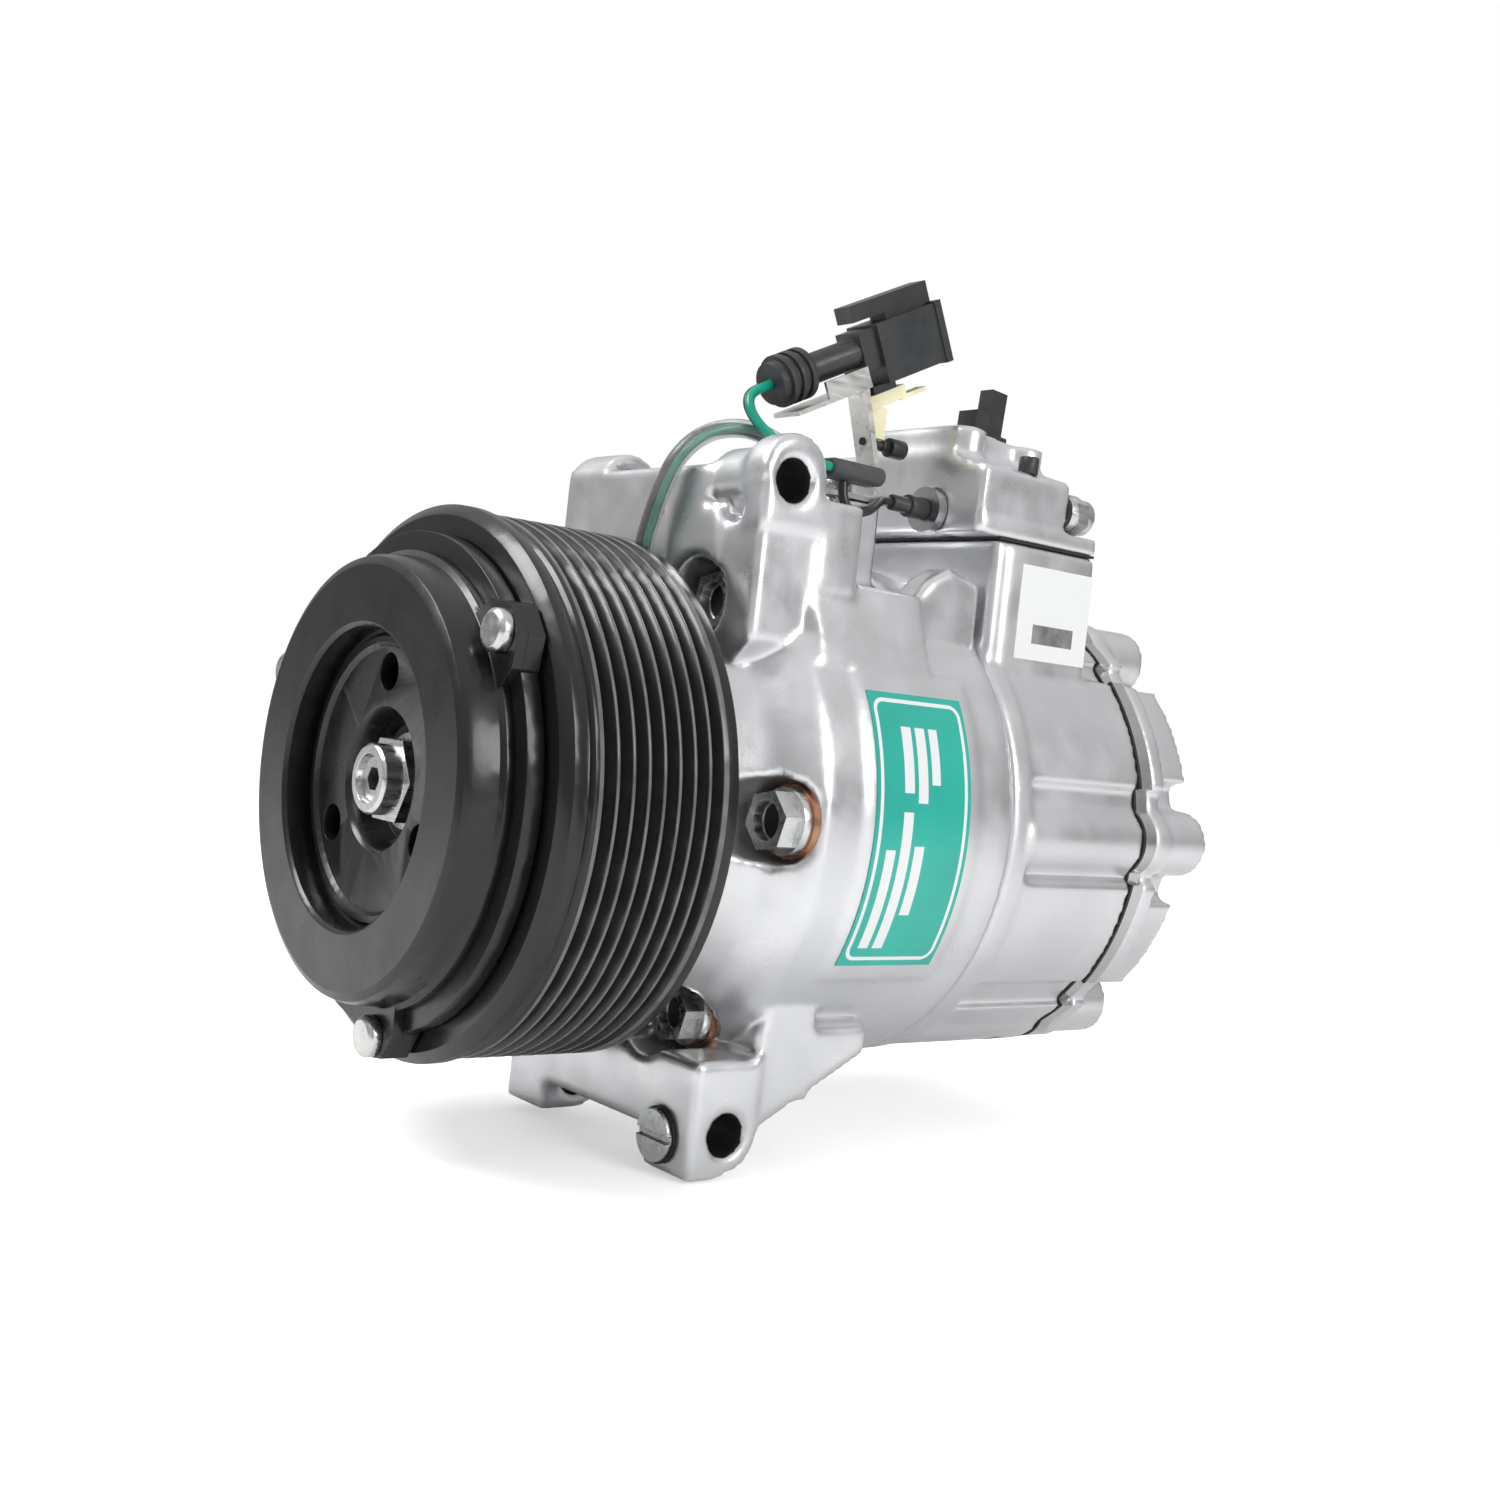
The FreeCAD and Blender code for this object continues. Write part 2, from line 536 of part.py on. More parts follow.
def make_cylinder_block():
    """Middle casing with six bores, the seat of the port block and the side pad for the serial label."""
    flange = turned([(0, "joint"), ("housing_radius - 0.7", "joint"), ("housing_radius - 0.4", "joint + 1.5"),
                     ("housing_radius - 0.4", "joint + 6"), (56.4, "joint + 7.4"), (0, "joint + 7.4")])
    seat = box("port_left", "port_right", "joint + 0.5", "port_rear", 20, "port_floor")
    side = box(20, "port_right + 0.7", "joint + 5", "port_rear", 38, "port_floor - 1")
    outside = fuse(flange, lobed("joint + 6", "block_rear"), seat, side)
    bores = []
    for i in range(6):
        angle = math.radians(30 + 60 * i)
        bores.append(rod("y", "cylinder_radius", "joint - 1", "block_rear + 1",
                         "%s*cylinder_circle" % round(math.cos(angle), 5), "%s*cylinder_circle" % round(math.sin(angle), 5)))
    middle = turned([(0, "joint - 1"), (11.5, "joint - 1"), (11.5, "joint + 31"), (5, "joint + 31"),
                     (5, "block_rear + 1"), (0, "block_rear + 1")])
    galleries = [rod("z", 3.5, 58, "port_floor + 1", "check_x", "check_y"),
                 rod("z", 4, 58, "port_floor + 1", "suction_x", "suction_y")]
    threads = [rod("z", 2.5, "port_floor - 11", "port_floor + 1", x, y) for x, y in PORT_BOLTS]
    node(cut(outside, *bores, middle, columns("bolt_hole", "joint - 1", "block_rear + 1"), *galleries, *threads),
         "cylinder_block")


def make_plates():
    """Gasket, reed plates and valve plate between block and head."""
    def ported(label, start, end, port_circle, port_radius):
        """One plate with bolt holes and a ring of six ports."""
        holes = [columns("bolt_hole", start + " - 1", end + " + 1")]
        for i in range(6):
            angle = math.radians(30 + 60 * i)
            holes.append(rod("y", port_radius, start + " - 1", end + " + 1",
                             round(port_circle * math.cos(angle), 3), round(port_circle * math.sin(angle), 3)))
        node(cut(lobed(start, end), *holes), label)
    ported("rear_gasket", "block_rear", "block_rear + 0.8", 32.5, 14.5)
    ported("suction_reed_plate", "block_rear + 0.8", "plate_front", 27, 3.4)
    ported("valve_plate", "plate_front", "plate_rear", 37, 4.2)
    ported("discharge_reed_plate", "plate_rear", "head_front", 37, 3.6)


def make_rear_head():
    """Lobed rear cover with an inner and an outer gas chamber."""
    lobes = [rod("y", 53.5, "head_front", "head_rear - 2", sweep=27, turn=turn)
             for turn in (16.5, 76.5, 136.5, 196.5, 256.5, 316.5)]
    shell = turned([(0, "head_front"), (49, "head_front"), (49, "head_rear - 3"), (46, "head_rear"), (0, "head_rear")])
    bosses = columns("8", "head_front", "head_rear - 0.5")
    outside = fuse(lobed("head_front", "head_front + 5.5"), shell, bosses, *lobes)
    chambers = [ring(19, 42.5, "head_front - 1", "head_rear - 5"), rod("y", 15, "head_front - 1", "head_rear - 6")]
    node(cut(outside, *chambers, columns("bolt_shank", "head_front - 1", "bolt_end")), "rear_head")


def make_fasteners():
    """Through bolts with their copper washers, the slotted drain plug and the rubber seal rings."""
    bolt = turned([("bolt_circle", "bolt_seat - 3.6"), ("bolt_circle + 7", "bolt_seat - 3.6"),
                   ("bolt_circle + 7.2", "bolt_seat - 1.6"), ("bolt_circle + bolt_shank", "bolt_seat - 1.6"),
                   ("bolt_circle + bolt_shank", "bolt_end - 0.4"), ("bolt_circle", "bolt_end - 0.4")],
                  axis_at="bolt_circle")
    head = slab("XZ_Plane", [polygon(6.5, 6, SIZES["bolt_circle"], 0, 12)], "3.6 - bolt_seat", 4.4)
    heads = around_shaft(head, "bolt_count")
    sockets = columns("4.1", "bolt_seat - 9", "bolt_seat - 5.2")
    node(cut(fuse(around_shaft(bolt, "bolt_count"), heads), sockets), "through_bolts")
    washer = turned([("bolt_circle + bolt_hole", "bolt_seat - washer_thick"),
                     ("bolt_circle + washer_radius", "bolt_seat - washer_thick"),
                     ("bolt_circle + washer_radius", "bolt_seat"), ("bolt_circle + bolt_hole", "bolt_seat")],
                    axis_at="bolt_circle")
    node(around_shaft(washer, "bolt_count"), "copper_washers")
    plug = fuse(rod("y", 5.5, "beam_front - 2", "beam_front - 0.7", 34.4, -67),
                rod("y", 4.4, "beam_front - 0.7", "beam_front + 3.7", 34.4, -67))
    slot = box(28, 41, "beam_front - 3", "beam_front - 1", -67.7, -66.3)
    node(cut(plug, slot), "drain_plug")
    plug_seal = cut(rod("y", 5.9, "beam_front - 0.7", "beam_front", 34.4, -67),
                    rod("y", 4.4, "beam_front - 1", "beam_front + 1", 34.4, -67))
    housing_seal = ring("crankcase_radius + 1.1", "crankcase_radius + 2.5", "joint - 1.3", "joint")
    valve_seal = cut(rod("y", 4.7, 83.2, 84.6, 40, 75.5), rod("y", 3.4, 83, 85, 40, 75.5))
    node(fuse(plug_seal, housing_seal, valve_seal), "seal_rings")


# ---------------------------------------------------------------- swash drive
def make_shaft_group():
    """Drive shaft, its seal and bearings, lug plate, swash plate, hinge pin and swash spring."""
    shaft = turned([(0, "hub_seat - 8.6"), (4.4, "hub_seat - 8.6"), (5, "hub_seat - 8"), (5, "hub_seat + 1.52"),
                    (6, "hub_seat + 1.52"), (6, "nose_front + 3.5"), ("shaft_radius", "nose_front + 3.5"),
                    ("shaft_radius", "joint + 25"), ("shaft_radius - 0.6", "joint + 25.6"), (0, "joint + 25.6")])
    socket = slab("XZ_Plane", [polygon(2.6, 6, 0, 0)], "3 - hub_seat", 8)
    node(cut(shaft, socket), "drive_shaft")
    node(ring("shaft_radius + 0.05", 12.5, -46, -36), "shaft_seal")
    node(fuse(ring("shaft_radius + 0.05", 11.5, -9, "crankcase_front - 1"),
              ring("shaft_radius + 0.05", 11.5, "joint + 4", "joint + 20")), "needle_bearings")
    node(ring("shaft_radius + 1.5", 22, "crankcase_front", "crankcase_front + 2.9"), "front_thrust_bearing")
    node(ring(5.5, 8.2, "joint + 26.1", "joint + 31"), "rear_thrust_washer")
    plate = ring("shaft_radius", 43.5, "crankcase_front + 3", "crankcase_front + 11.5")
    cheeks = [box(low, low + 3.8, "crankcase_front + 10", "swash_plane - 7", 13.2, 21.4) for low in (-8, 4.2)]
    pin_y, pin_z = "swash_plane - 9.5", 17.5
    pin_hole = rod("x", 2, -9, 9, pin_y, pin_z)
    node(cut(fuse(plate, *cheeks), pin_hole), "lug_plate")
    node(rod("x", 2, -8.4, 8.4, pin_y, pin_z), "hinge_pin")
    disc = ring("shaft_radius + 0.05", "swash_radius", "swash_plane - swash_half", "swash_plane + swash_half")
    hub = ring("shaft_radius + 0.05", 13, "swash_plane - 5", "swash_plane + 6")
    arm = box(-3.8, 3.8, "swash_plane - 12", "swash_plane - 3", 13.4, 21)
    node(cut(fuse(disc, hub, arm), pin_hole), "swash_plate")
    turns, wire, coil_radius = 3.5, 0.8, 10.2
    start, end = read("crankcase_front + 11.5") + wire, read("swash_plane - 5") - wire
    helix = Part.makeHelix((end - start) / turns, end - start, coil_radius)
    section = Part.Wire(Part.makeCircle(wire, V(coil_radius, 0, 0), Y_AXIS))
    coil = Part.Wire(helix.Edges).makePipeShell([section], True, True)
    spring = doc.addObject("Part::Feature", unique("spring"))
    spring.Shape = coil
    spring.Placement = FreeCAD.Placement(V(0, start, 0), FreeCAD.Rotation(X_AXIS, -90))
    node(spring, "swash_spring")


def make_pistons():
    """Six single-headed pistons, each gripping the swash plate's rim between two half-ball shoes."""
    reach, lane = "cylinder_circle", "swash_plane"
    barrel = rod("y", "piston_radius", lane + " - 11.6", "block_rear - 0.2", reach, 0)
    slot = box(0, "swash_radius + 0.6", lane + " - swash_half - 0.5", lane + " + swash_half + 0.5", -20, 20)
    relief = [box(0, 60, lane + " - 13", "joint + 7", low, low + 20) for low in (9, -29)]
    inner = box(0, 24.5, lane + " - 13", "joint + 7", -20, 20)
    ball = doc.addObject("Part::Sphere", unique("ball"))
    ball.setExpression("Radius", bound("shoe_radius + 2.02"))
    ball.setExpression(".Placement.Base.x", bound(reach))
    ball.setExpression(".Placement.Base.y", bound(lane))
    hollow = rod("y", 10.5, "joint + 16", "block_rear - 6", reach, 0)
    copies_around(cut(barrel, slot, *relief, inner, ball, hollow), 6, 30.0, "pistons")
    shoe = doc.addObject("Part::Sphere", unique("ball"))
    shoe.setExpression("Radius", bound("shoe_radius + 2"))
    shoe.setExpression(".Placement.Base.x", bound(reach))
    shoe.setExpression(".Placement.Base.y", bound(lane))
    gap = box(0, 60, lane + " - swash_half - 0.05", lane + " + swash_half + 0.05", -20, 20)
    copies_around(cut(shoe, gap), 6, 30.0, "piston_shoes")


# ---------------------------------------------------------------- port block and valves
PAD_TILT = -4.5


def on_pad(obj):
    """Puts an object drawn about the pad's centre onto the tilted port pad."""
    return moved(obj, V(18, 71, 87.6), X_AXIS, PAD_TILT)


def make_port_block():
    """Muffler cover on the cylinder block, with its gasket, bolts, port pad and hole caps."""
    floor = "port_floor + 0.6"
    outline = [("port_left", floor), ("port_right", floor), ("port_right + 0.7", "port_top - 0.6"),
               ("port_right", "port_top"), (31, "port_top + 3.6"), (-12, "port_top + 3.6"),
               ("port_left", "port_top + 1")]
    block = slab("XZ_Plane", [outline], "11.5 - port_rear", "port_rear - 11.5 - port_front")
    foot = box("port_left", "port_right + 0.7", "port_front + 2", "port_rear", floor, "foot_top")
    pad = on_pad(fuse(box(-13, 15, -15.5, 13, -8, 3), rod("z", 4, -8, 3, 14.5, -11), rod("z", 4, -8, 3, 14.5, 8.5)))
    port = on_pad(fuse(rod("z", 3.8, -6.2, 5, 7.5, 1)))
    chamber = box(-2, 16, 64, 80, "port_floor", "port_top - 1")
    galleries = [rod("x", 2.6, 10, 25, 72, 81.5), rod("x", 1.5, 15, 40, 78.5, 75.5),
                 rod("x", "suction_radius", "port_left - 1", "port_left + 12", "suction_y", 75.5),
                 rod("z", 4, "port_floor", 75, "suction_x", "suction_y"),
                 rod("y", "valve_radius", "port_front - 1", "port_front + 20", "valve_x", "valve_z"),
                 rod("y", 3.4, 76, 84, 40, 75.5), rod("z", 1.7, 76, 83, 41.5, 71.5),
                 rod("z", 2.5, 82.2, 90, 41.5, 71.5)]
    holes = [rod("z", 2.8, "port_floor", 90, x, y) for x, y in PORT_BOLTS]
    sinks = [rod("z", 4.6, "foot_top", 92, x, y) for x, y in PORT_BOLTS]
    node(cut(fuse(block, foot, pad), port, chamber, *galleries, *holes, *sinks), "port_block")
    sheet_hole = [rod("z", 2.8, "port_floor - 1", "port_floor + 2", x, y) for x, y in PORT_BOLTS]
    gallery_holes = [rod("z", 3.5, "port_floor - 1", "port_floor + 2", "check_x", "check_y"),
                     rod("z", 4, "port_floor - 1", "port_floor + 2", "suction_x", "suction_y")]
    node(cut(box("port_left", "port_right", "joint + 1", "port_rear", "port_floor", floor),
             *sheet_hole, *gallery_holes), "port_gasket")
    bolts = []
    for x, y in PORT_BOLTS:
        head = cut(rod("z", 4.25, "foot_top", "foot_top + 5", x, y), rod("z", 2.2, "foot_top + 2.5", "foot_top + 6", x, y))
        bolts += [head, rod("z", 2.5, "port_floor - 10", "foot_top", x, y)]
    node(fuse(*bolts), "port_block_bolts")
    cap = fuse(box(-3.6, 3.6, -6.5, 4, 0, 1.8), box(-3, 3, -6.5, -2.4, 1.8, 6.3),
               box(-2, 2, -1.6, 3.6, 1.8, 12.5), rod("z", 3.7, -5, 0, 0, 0))
    cap.Placement.Base = V(7.5, 1, 3)
    node(on_pad(fuse(cap)), "port_cap")
    stem = fuse(rod("z", 2.3, 82.2, 86.2, 41.5, 71.5), rod("z", 1.7, 77, 82.2, 41.5, 71.5))
    node(stem, "hole_cap")
    fitting = fuse(rod("y", 3.4, 77, 84.6, 40, 75.5), rod("y", 4.2, 84.6, 93.2, 40, 75.5),
                   slab("XZ_Plane", [polygon(4.9, 6, 40, 75.5, 30)], -91, 3.4))
    node(fitting, "relief_valve")


def make_valves():
    """Discharge check valve with its spring, and the control valve with its spool."""
    seat = "port_floor + 0.65"
    poppet = fuse(rod("z", 5.7, seat, seat + " + 1.8", "check_x", "check_y"),
                  rod("z", 2, seat + " + 1.8", seat + " + 6", "check_x", "check_y"))
    node(poppet, "check_valve_poppet")
    start, end, turns, wire, radius = read(seat) + 2.35, read("port_top") - 1.6, 3.0, 0.5, 3.4
    helix = Part.makeHelix((end - start) / turns, end - start, radius)
    section = Part.Wire(Part.makeCircle(wire, V(radius, 0, 0), Y_AXIS))
    spring = doc.addObject("Part::Feature", unique("spring"))
    spring.Shape = Part.Wire(helix.Edges).makePipeShell([section], True, True)
    spring.Placement.Base = V(SIZES["check_x"], SIZES["check_y"], start)
    node(spring, "check_valve_spring")
    place = ("valve_x", "valve_z")
    cartridge = fuse(rod("y", "valve_radius - 0.02", "port_front + 0.5", "port_front + 19.5", *place),
                     rod("y", 5.2, "port_front - 2.5", "port_front", *place),
                     rod("y", 4.4, "port_front - 0.5", "port_front + 1", *place))
    hollow = rod("y", 2.2, "port_front + 2", "port_front + 16", *place)
    node(cut(cartridge, hollow), "control_valve_body")
    node(rod("y", 2.15, "port_front + 3.5", "port_front + 14.5", *place), "control_valve_spool")
    coil = fuse(rod("y", 2.6, "port_front - 8", "port_front - 2.5", *place),
                rod("y", 1.8, "port_front - 12.9", "port_front - 8", *place))
    node(coil, "control_valve_coil")


# ---------------------------------------------------------------- wiring
PLUG_AT = V(SIZES["plug_x"], SIZES["plug_y"], SIZES["plug_z"])


def on_plug_axis(obj):
    """Puts an object drawn along +Y from the origin onto the tilted axis of the wire connector."""
    obj.Placement = FreeCAD.Placement(PLUG_AT, FreeCAD.Rotation(X_AXIS, SIZES["plug_tilt"])).multiply(obj.Placement)
    return obj


def make_connector():
    """Two-pin connector with its wire boot, terminals, bracket and clips."""
    shell = fuse(box(-3.8, 3.8, 2.7, 8, -4.5, 4.5), box(-5, 5, 7.5, 27.5, -8.3, 5), box(-5.4, 5.4, 26, 28, -8.7, 5.4),
                 box(-2.6, 2.6, 3, 27.5, 6.5, 10.2), box(-2.6, 2.6, 13, 27.5, 4.9, 6.6),
                 box(-3, 3, 4, 11, -10, -8.2), rod("y", 3.4, -16, 3.5))
    hollow = box(-4, 4, 14, 29, -7.3, 4)
    pins = [(-1.8, -1.5), (1.8, -1.5)]
    pin_holes = [rod("y", 0.8, -4, 15, x, z) for x, z in pins]
    node(on_plug_axis(cut(shell, hollow, *pin_holes)), "connector_body")
    node(on_plug_axis(fuse(*[rod("y", 0.8, -4, 19, x, z) for x, z in pins])), "connector_terminals")
    ribs = [rod("y", 5.7, start, start + 1.6) for start in (-20, -17.2, -14.4)]
    boot = fuse(rod("y", 4.9, -20, -12.5), rod("y", 4.6, -22, -20), *ribs)
    node(on_plug_axis(cut(boot, rod("y", 3.4, -16, -12))), "connector_boot")
    tongue = on_plug_axis(fuse(box(-4, 4.6, -20, 2.6, -7.8, -6.8), box(3.8, 4.6, -10.5, 2.5, -7.8, -3.1)))
    leg = slab("YZ_Plane", [[(31.4, 96.6), (33, 96.6), (39, 78), (39, 70.8), (37.8, 70.8), (37.8, 77.6)]], 21, 6)
    foot = box(19, 27, 24.5, 39, 70.8, 72)
    peg_hole = rod("y", 0.9, 33, 40, 24, 84.4)
    node(cut(fuse(tongue, leg, foot), peg_hole, rod("z", 2.5, 70, 73, 23, 30)), "connector_bracket")
    rail = on_plug_axis(fuse(box(-2.5, 2.5, 2.6, 14, -13, -10), box(-1.6, 1.6, 13, 21, -13.4, -12.4)))
    stem = box(21.8, 26.2, 35.6, 40, 85.4, 92.5)
    node(cut(fuse(rail, stem), leg), "connector_clip")
    node(fuse(rod("y", 0.9, 35, 43.2, 24, 84.4), rod("y", 1.3, 41, 42.4, 24, 84.4),
              rod("y", 2.2, 43.2, 47.8, 24, 84.4)), "bracket_peg")
    node(fuse(rod("z", 3.6, 72, 74.8, 23, 30), rod("z", 2.5, 60, 72, 23, 30)), "bracket_screw")


CLUTCH_LEAD = [V(9, SIZES["coil_rear"], 40), V(9, -13.8, 40), V(9, -11, 43), V(9, -11, 47), V(10, -11.5, 53.5),
               V(12.4, -11.9, 60), V(15.6, -12.1, 66.5), V(18.6, -11.2, 73.2), V(20.4, -6, 79), V(22.5, 1.5, 81.5),
               V(25.2, 7.3, 80.4), V(27.8, 12.2, 77.4), V(29, 16.2, 75.6), V(29, 19.5, 75.6)]
PLUG_LEAD = [V(32.4, 19.5, 75.6), V(32.4, 16.3, 75.6), V(31.8, 11, 76.6), V(30.2, 6.2, 78.6), V(28.3, 2.6, 81.3),
             V(26.2, 0.9, 84.6), V(24.6, 1.6, 87.9), V(24, 4.37, 89.97), V(24, 7.4, 91.51)]
VALVE_LEAD = [V(28.6, 41.6, 71.6), V(28.6, 38.4, 71.6), V(31.4, 34.6, 69.4), V(33.4, 30.4, 67.4),
              V(32.4, 26.3, 66.8), V(31, 24.9, 70), V(31, 24.9, 73.3)]


def lead(points, radius, label):
    """Cord tube of straight runs joined by tangent arcs; prints each arc's radius and the volume check."""
    edges, start, length = [], points[0], 0.0
    for before, corner, after in zip(points, points[1:], points[2:]):
        into, out = corner - before, after - corner
        half = into.getAngle(out) / 2
        arc_radius = 0.45 * min(into.Length, out.Length) / math.tan(half)
        setback = arc_radius * math.tan(half)
        first = corner - V(into).normalize() * setback
        last = corner + V(out).normalize() * setback
        bisector = (V(out).normalize() - V(into).normalize()).normalize()
        crown = corner + bisector * (arc_radius / math.cos(half) - arc_radius)
        edges += [Part.LineSegment(start, first).toShape(), Part.Arc(first, crown, last).toShape()]
        start = last
        print(label, "arc radius", round(arc_radius, 1))
    edges.append(Part.LineSegment(start, points[-1]).toShape())
    path = Part.Wire(edges)
    heading = points[1] - points[0]
    tube = path.makePipeShell([Part.Wire(Part.makeCircle(radius, points[0], heading))], True, True)
    print(label, "length", round(path.Length, 1), "volume ratio",
          round(tube.Volume / (math.pi * radius * radius * path.Length), 4))
    obj = doc.addObject("Part::Feature", unique("lead"))
    obj.Shape = tube
    return node(obj, label)


def make_wiring():
    """Splice sleeve and the three leads that meet in it."""
    start, end, height, half = 19.5, 34.5, 75.6, 2.1
    sleeve = fuse(box(29, 32.4, start, end, height - half, height + half), rod("y", half, start, end, 29, height),
                  rod("y", half, start, end, 32.4, height))
    node(sleeve, "splice_sleeve")


# ---------------------------------------------------------------- labels
def make_labels():
    """Blank rating label on the front housing and blank serial label on the cylinder block."""
    face = "housing_radius + 0.7"
    skin = rod("y", face + " + 0.15", 18.5, 46, sweep=58, turn=-29.5)
    node(cut(skin, rod("y", face, 17, 48)), "rating_label")
    node(box("port_right + 0.7", "port_right + 0.9", 69.7, 94, 40, 61.5), "serial_label")


make_clutch()
make_pulley()
node(fuse(make_bearing(), make_coil()), "snap_rings")
make_front_housing()
make_cylinder_block()
make_plates()
make_rear_head()
make_fasteners()
make_shaft_group()
make_pistons()
make_port_block()
make_valves()
make_connector()
make_wiring()
make_labels()
lead(CLUTCH_LEAD, 2.0, "clutch_lead")
lead(PLUG_LEAD, 1.2, "connector_lead")
lead(VALVE_LEAD, 1.2, "valve_lead")
doc.recompute()

for obj in doc.Objects:
    if "Invalid" in obj.State or "Error" in obj.State:
        uses = ", ".join(user.Label for user in obj.InList)
        raise RuntimeError("%s, used by %s, did not compute: %s" % (obj.Name, uses, obj.State))
os.makedirs("parts", exist_ok=True)
for old in os.listdir("parts"):
    os.remove(os.path.join("parts", old))
labels = [obj.Label for obj in NODES]
if len(set(labels)) != len(labels) or len(labels) > 60:
    raise RuntimeError("node names clash or are too many: %d" % len(labels))
for obj in NODES:
    shape = obj.Shape
    if shape.isNull() or not shape.isValid() or not shape.Solids:
        raise RuntimeError("%s has no valid shape" % obj.Label)
    shape.exportStep(os.path.join("parts", obj.Label + ".step"))
    print(obj.Label, len(shape.Solids), "solids", round(shape.Volume / 1000.0, 2), "cm3")
print(len(NODES), "nodes")
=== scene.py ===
"""Looks of a belt-driven air-conditioning compressor, built on its packed model.

The frame gives every part where it really is, in metres: the drive shaft lies along Y with the pulley at
the -Y end, +Z is up. Castings are rounded as a foundry leaves them, turned and pressed parts get broken
edges, the leads become smooth wires, and every part gets the finish of its real material.
"""
import math

import bmesh
import bpy
from bpy.props import FloatProperty, FloatVectorProperty, IntProperty, PointerProperty
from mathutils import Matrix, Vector


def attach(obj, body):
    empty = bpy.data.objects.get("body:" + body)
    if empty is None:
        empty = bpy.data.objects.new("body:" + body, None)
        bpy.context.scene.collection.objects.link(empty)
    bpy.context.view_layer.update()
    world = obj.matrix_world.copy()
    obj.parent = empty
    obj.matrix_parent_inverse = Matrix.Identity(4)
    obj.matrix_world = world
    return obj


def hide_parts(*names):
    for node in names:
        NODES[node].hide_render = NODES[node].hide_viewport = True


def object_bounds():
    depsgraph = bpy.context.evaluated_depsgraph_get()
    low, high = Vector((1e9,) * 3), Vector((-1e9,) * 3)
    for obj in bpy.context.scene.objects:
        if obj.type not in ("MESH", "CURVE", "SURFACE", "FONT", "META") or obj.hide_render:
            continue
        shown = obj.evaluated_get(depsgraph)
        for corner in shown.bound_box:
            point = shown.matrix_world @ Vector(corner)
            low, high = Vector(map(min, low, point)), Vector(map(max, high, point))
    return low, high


bl_info = {
    "name": "Compressor looks",
    "version": (1, 0, 0),
    "blender": (4, 5, 0),
    "location": "View3D > Sidebar > Compressor",
    "description": "Finishes the castings, clutch, fasteners, wiring and labels of a belt-driven compressor",
    "category": "Object",
}

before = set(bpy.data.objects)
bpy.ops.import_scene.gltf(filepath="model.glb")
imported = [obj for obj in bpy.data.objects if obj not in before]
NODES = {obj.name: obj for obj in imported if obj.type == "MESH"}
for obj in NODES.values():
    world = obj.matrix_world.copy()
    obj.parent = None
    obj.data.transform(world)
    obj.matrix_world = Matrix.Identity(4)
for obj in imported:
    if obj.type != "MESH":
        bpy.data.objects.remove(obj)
CAD_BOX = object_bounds()
MM = 0.001

# where the pulley is ribbed, along the shaft
RIBBED_FROM = -47.5 * MM
RIBBED_TO = -17.5 * MM
# heights of the upper and the lower mounting bores, whose walls get painted shade
BORE_HEIGHTS = (68.8 * MM, -65.5 * MM)
# through bolts: how many, the radius of the painted shade in the hollow of each head, and how far back along
# the shaft it goes
BOLT_COUNT = 6
BOLT_HOLLOW = 4.0 * MM
BOLT_HOLLOW_END = -0.2 * MM
# rating label, in mm along the shaft and then round the casing
LABEL_RADIUS = 59.3
LABEL_MIDDLE = (32.25, -0.5)
LABEL_HALF = (13.75, 29.6)
LABEL_CORNER = 4.0
# the border line lies between these two distances in from the label's edge
LABEL_BORDER = (1.9, 1.0)
# its blank fields: from and to along the shaft, then from and to round the casing
LABEL_FIELDS = [
    (-9.9, -7.2, -26, -4), (-5.9, -3.1, -26, 4), (-5.9, -3.1, 8, 22), (-1.9, 0.9, -18, -3), (-1.9, 0.9, 6, 22),
    (2.1, 4.6, 10, 22),
]
# grey panel of the serial label: along the shaft, then in height
SERIAL_PANEL = ((75 * MM, 89 * MM), (43.8 * MM, 48.2 * MM))
# how near two points are before they become one, on castings and on other parts
CAST_MERGE = 0.01 * MM
PART_MERGE = 0.005 * MM
# lights and camera, in metres and degrees
LIT_MIDDLE = (0.01, 0.03, 0.0)
KEY_PLACE = (-0.25, -0.55, 0.75)
KEY_WIDTH = 0.5
SIDE_PLACE = (0.9, 0.15, 0.35)
SIDE_WIDTH = 0.45
CAMERA_PLACE = (0.31592, -0.22533, 0.02046)
CAMERA_TURN = (88.867, -6.036, 50.956)


# ---------------------------------------------------------------- finishes


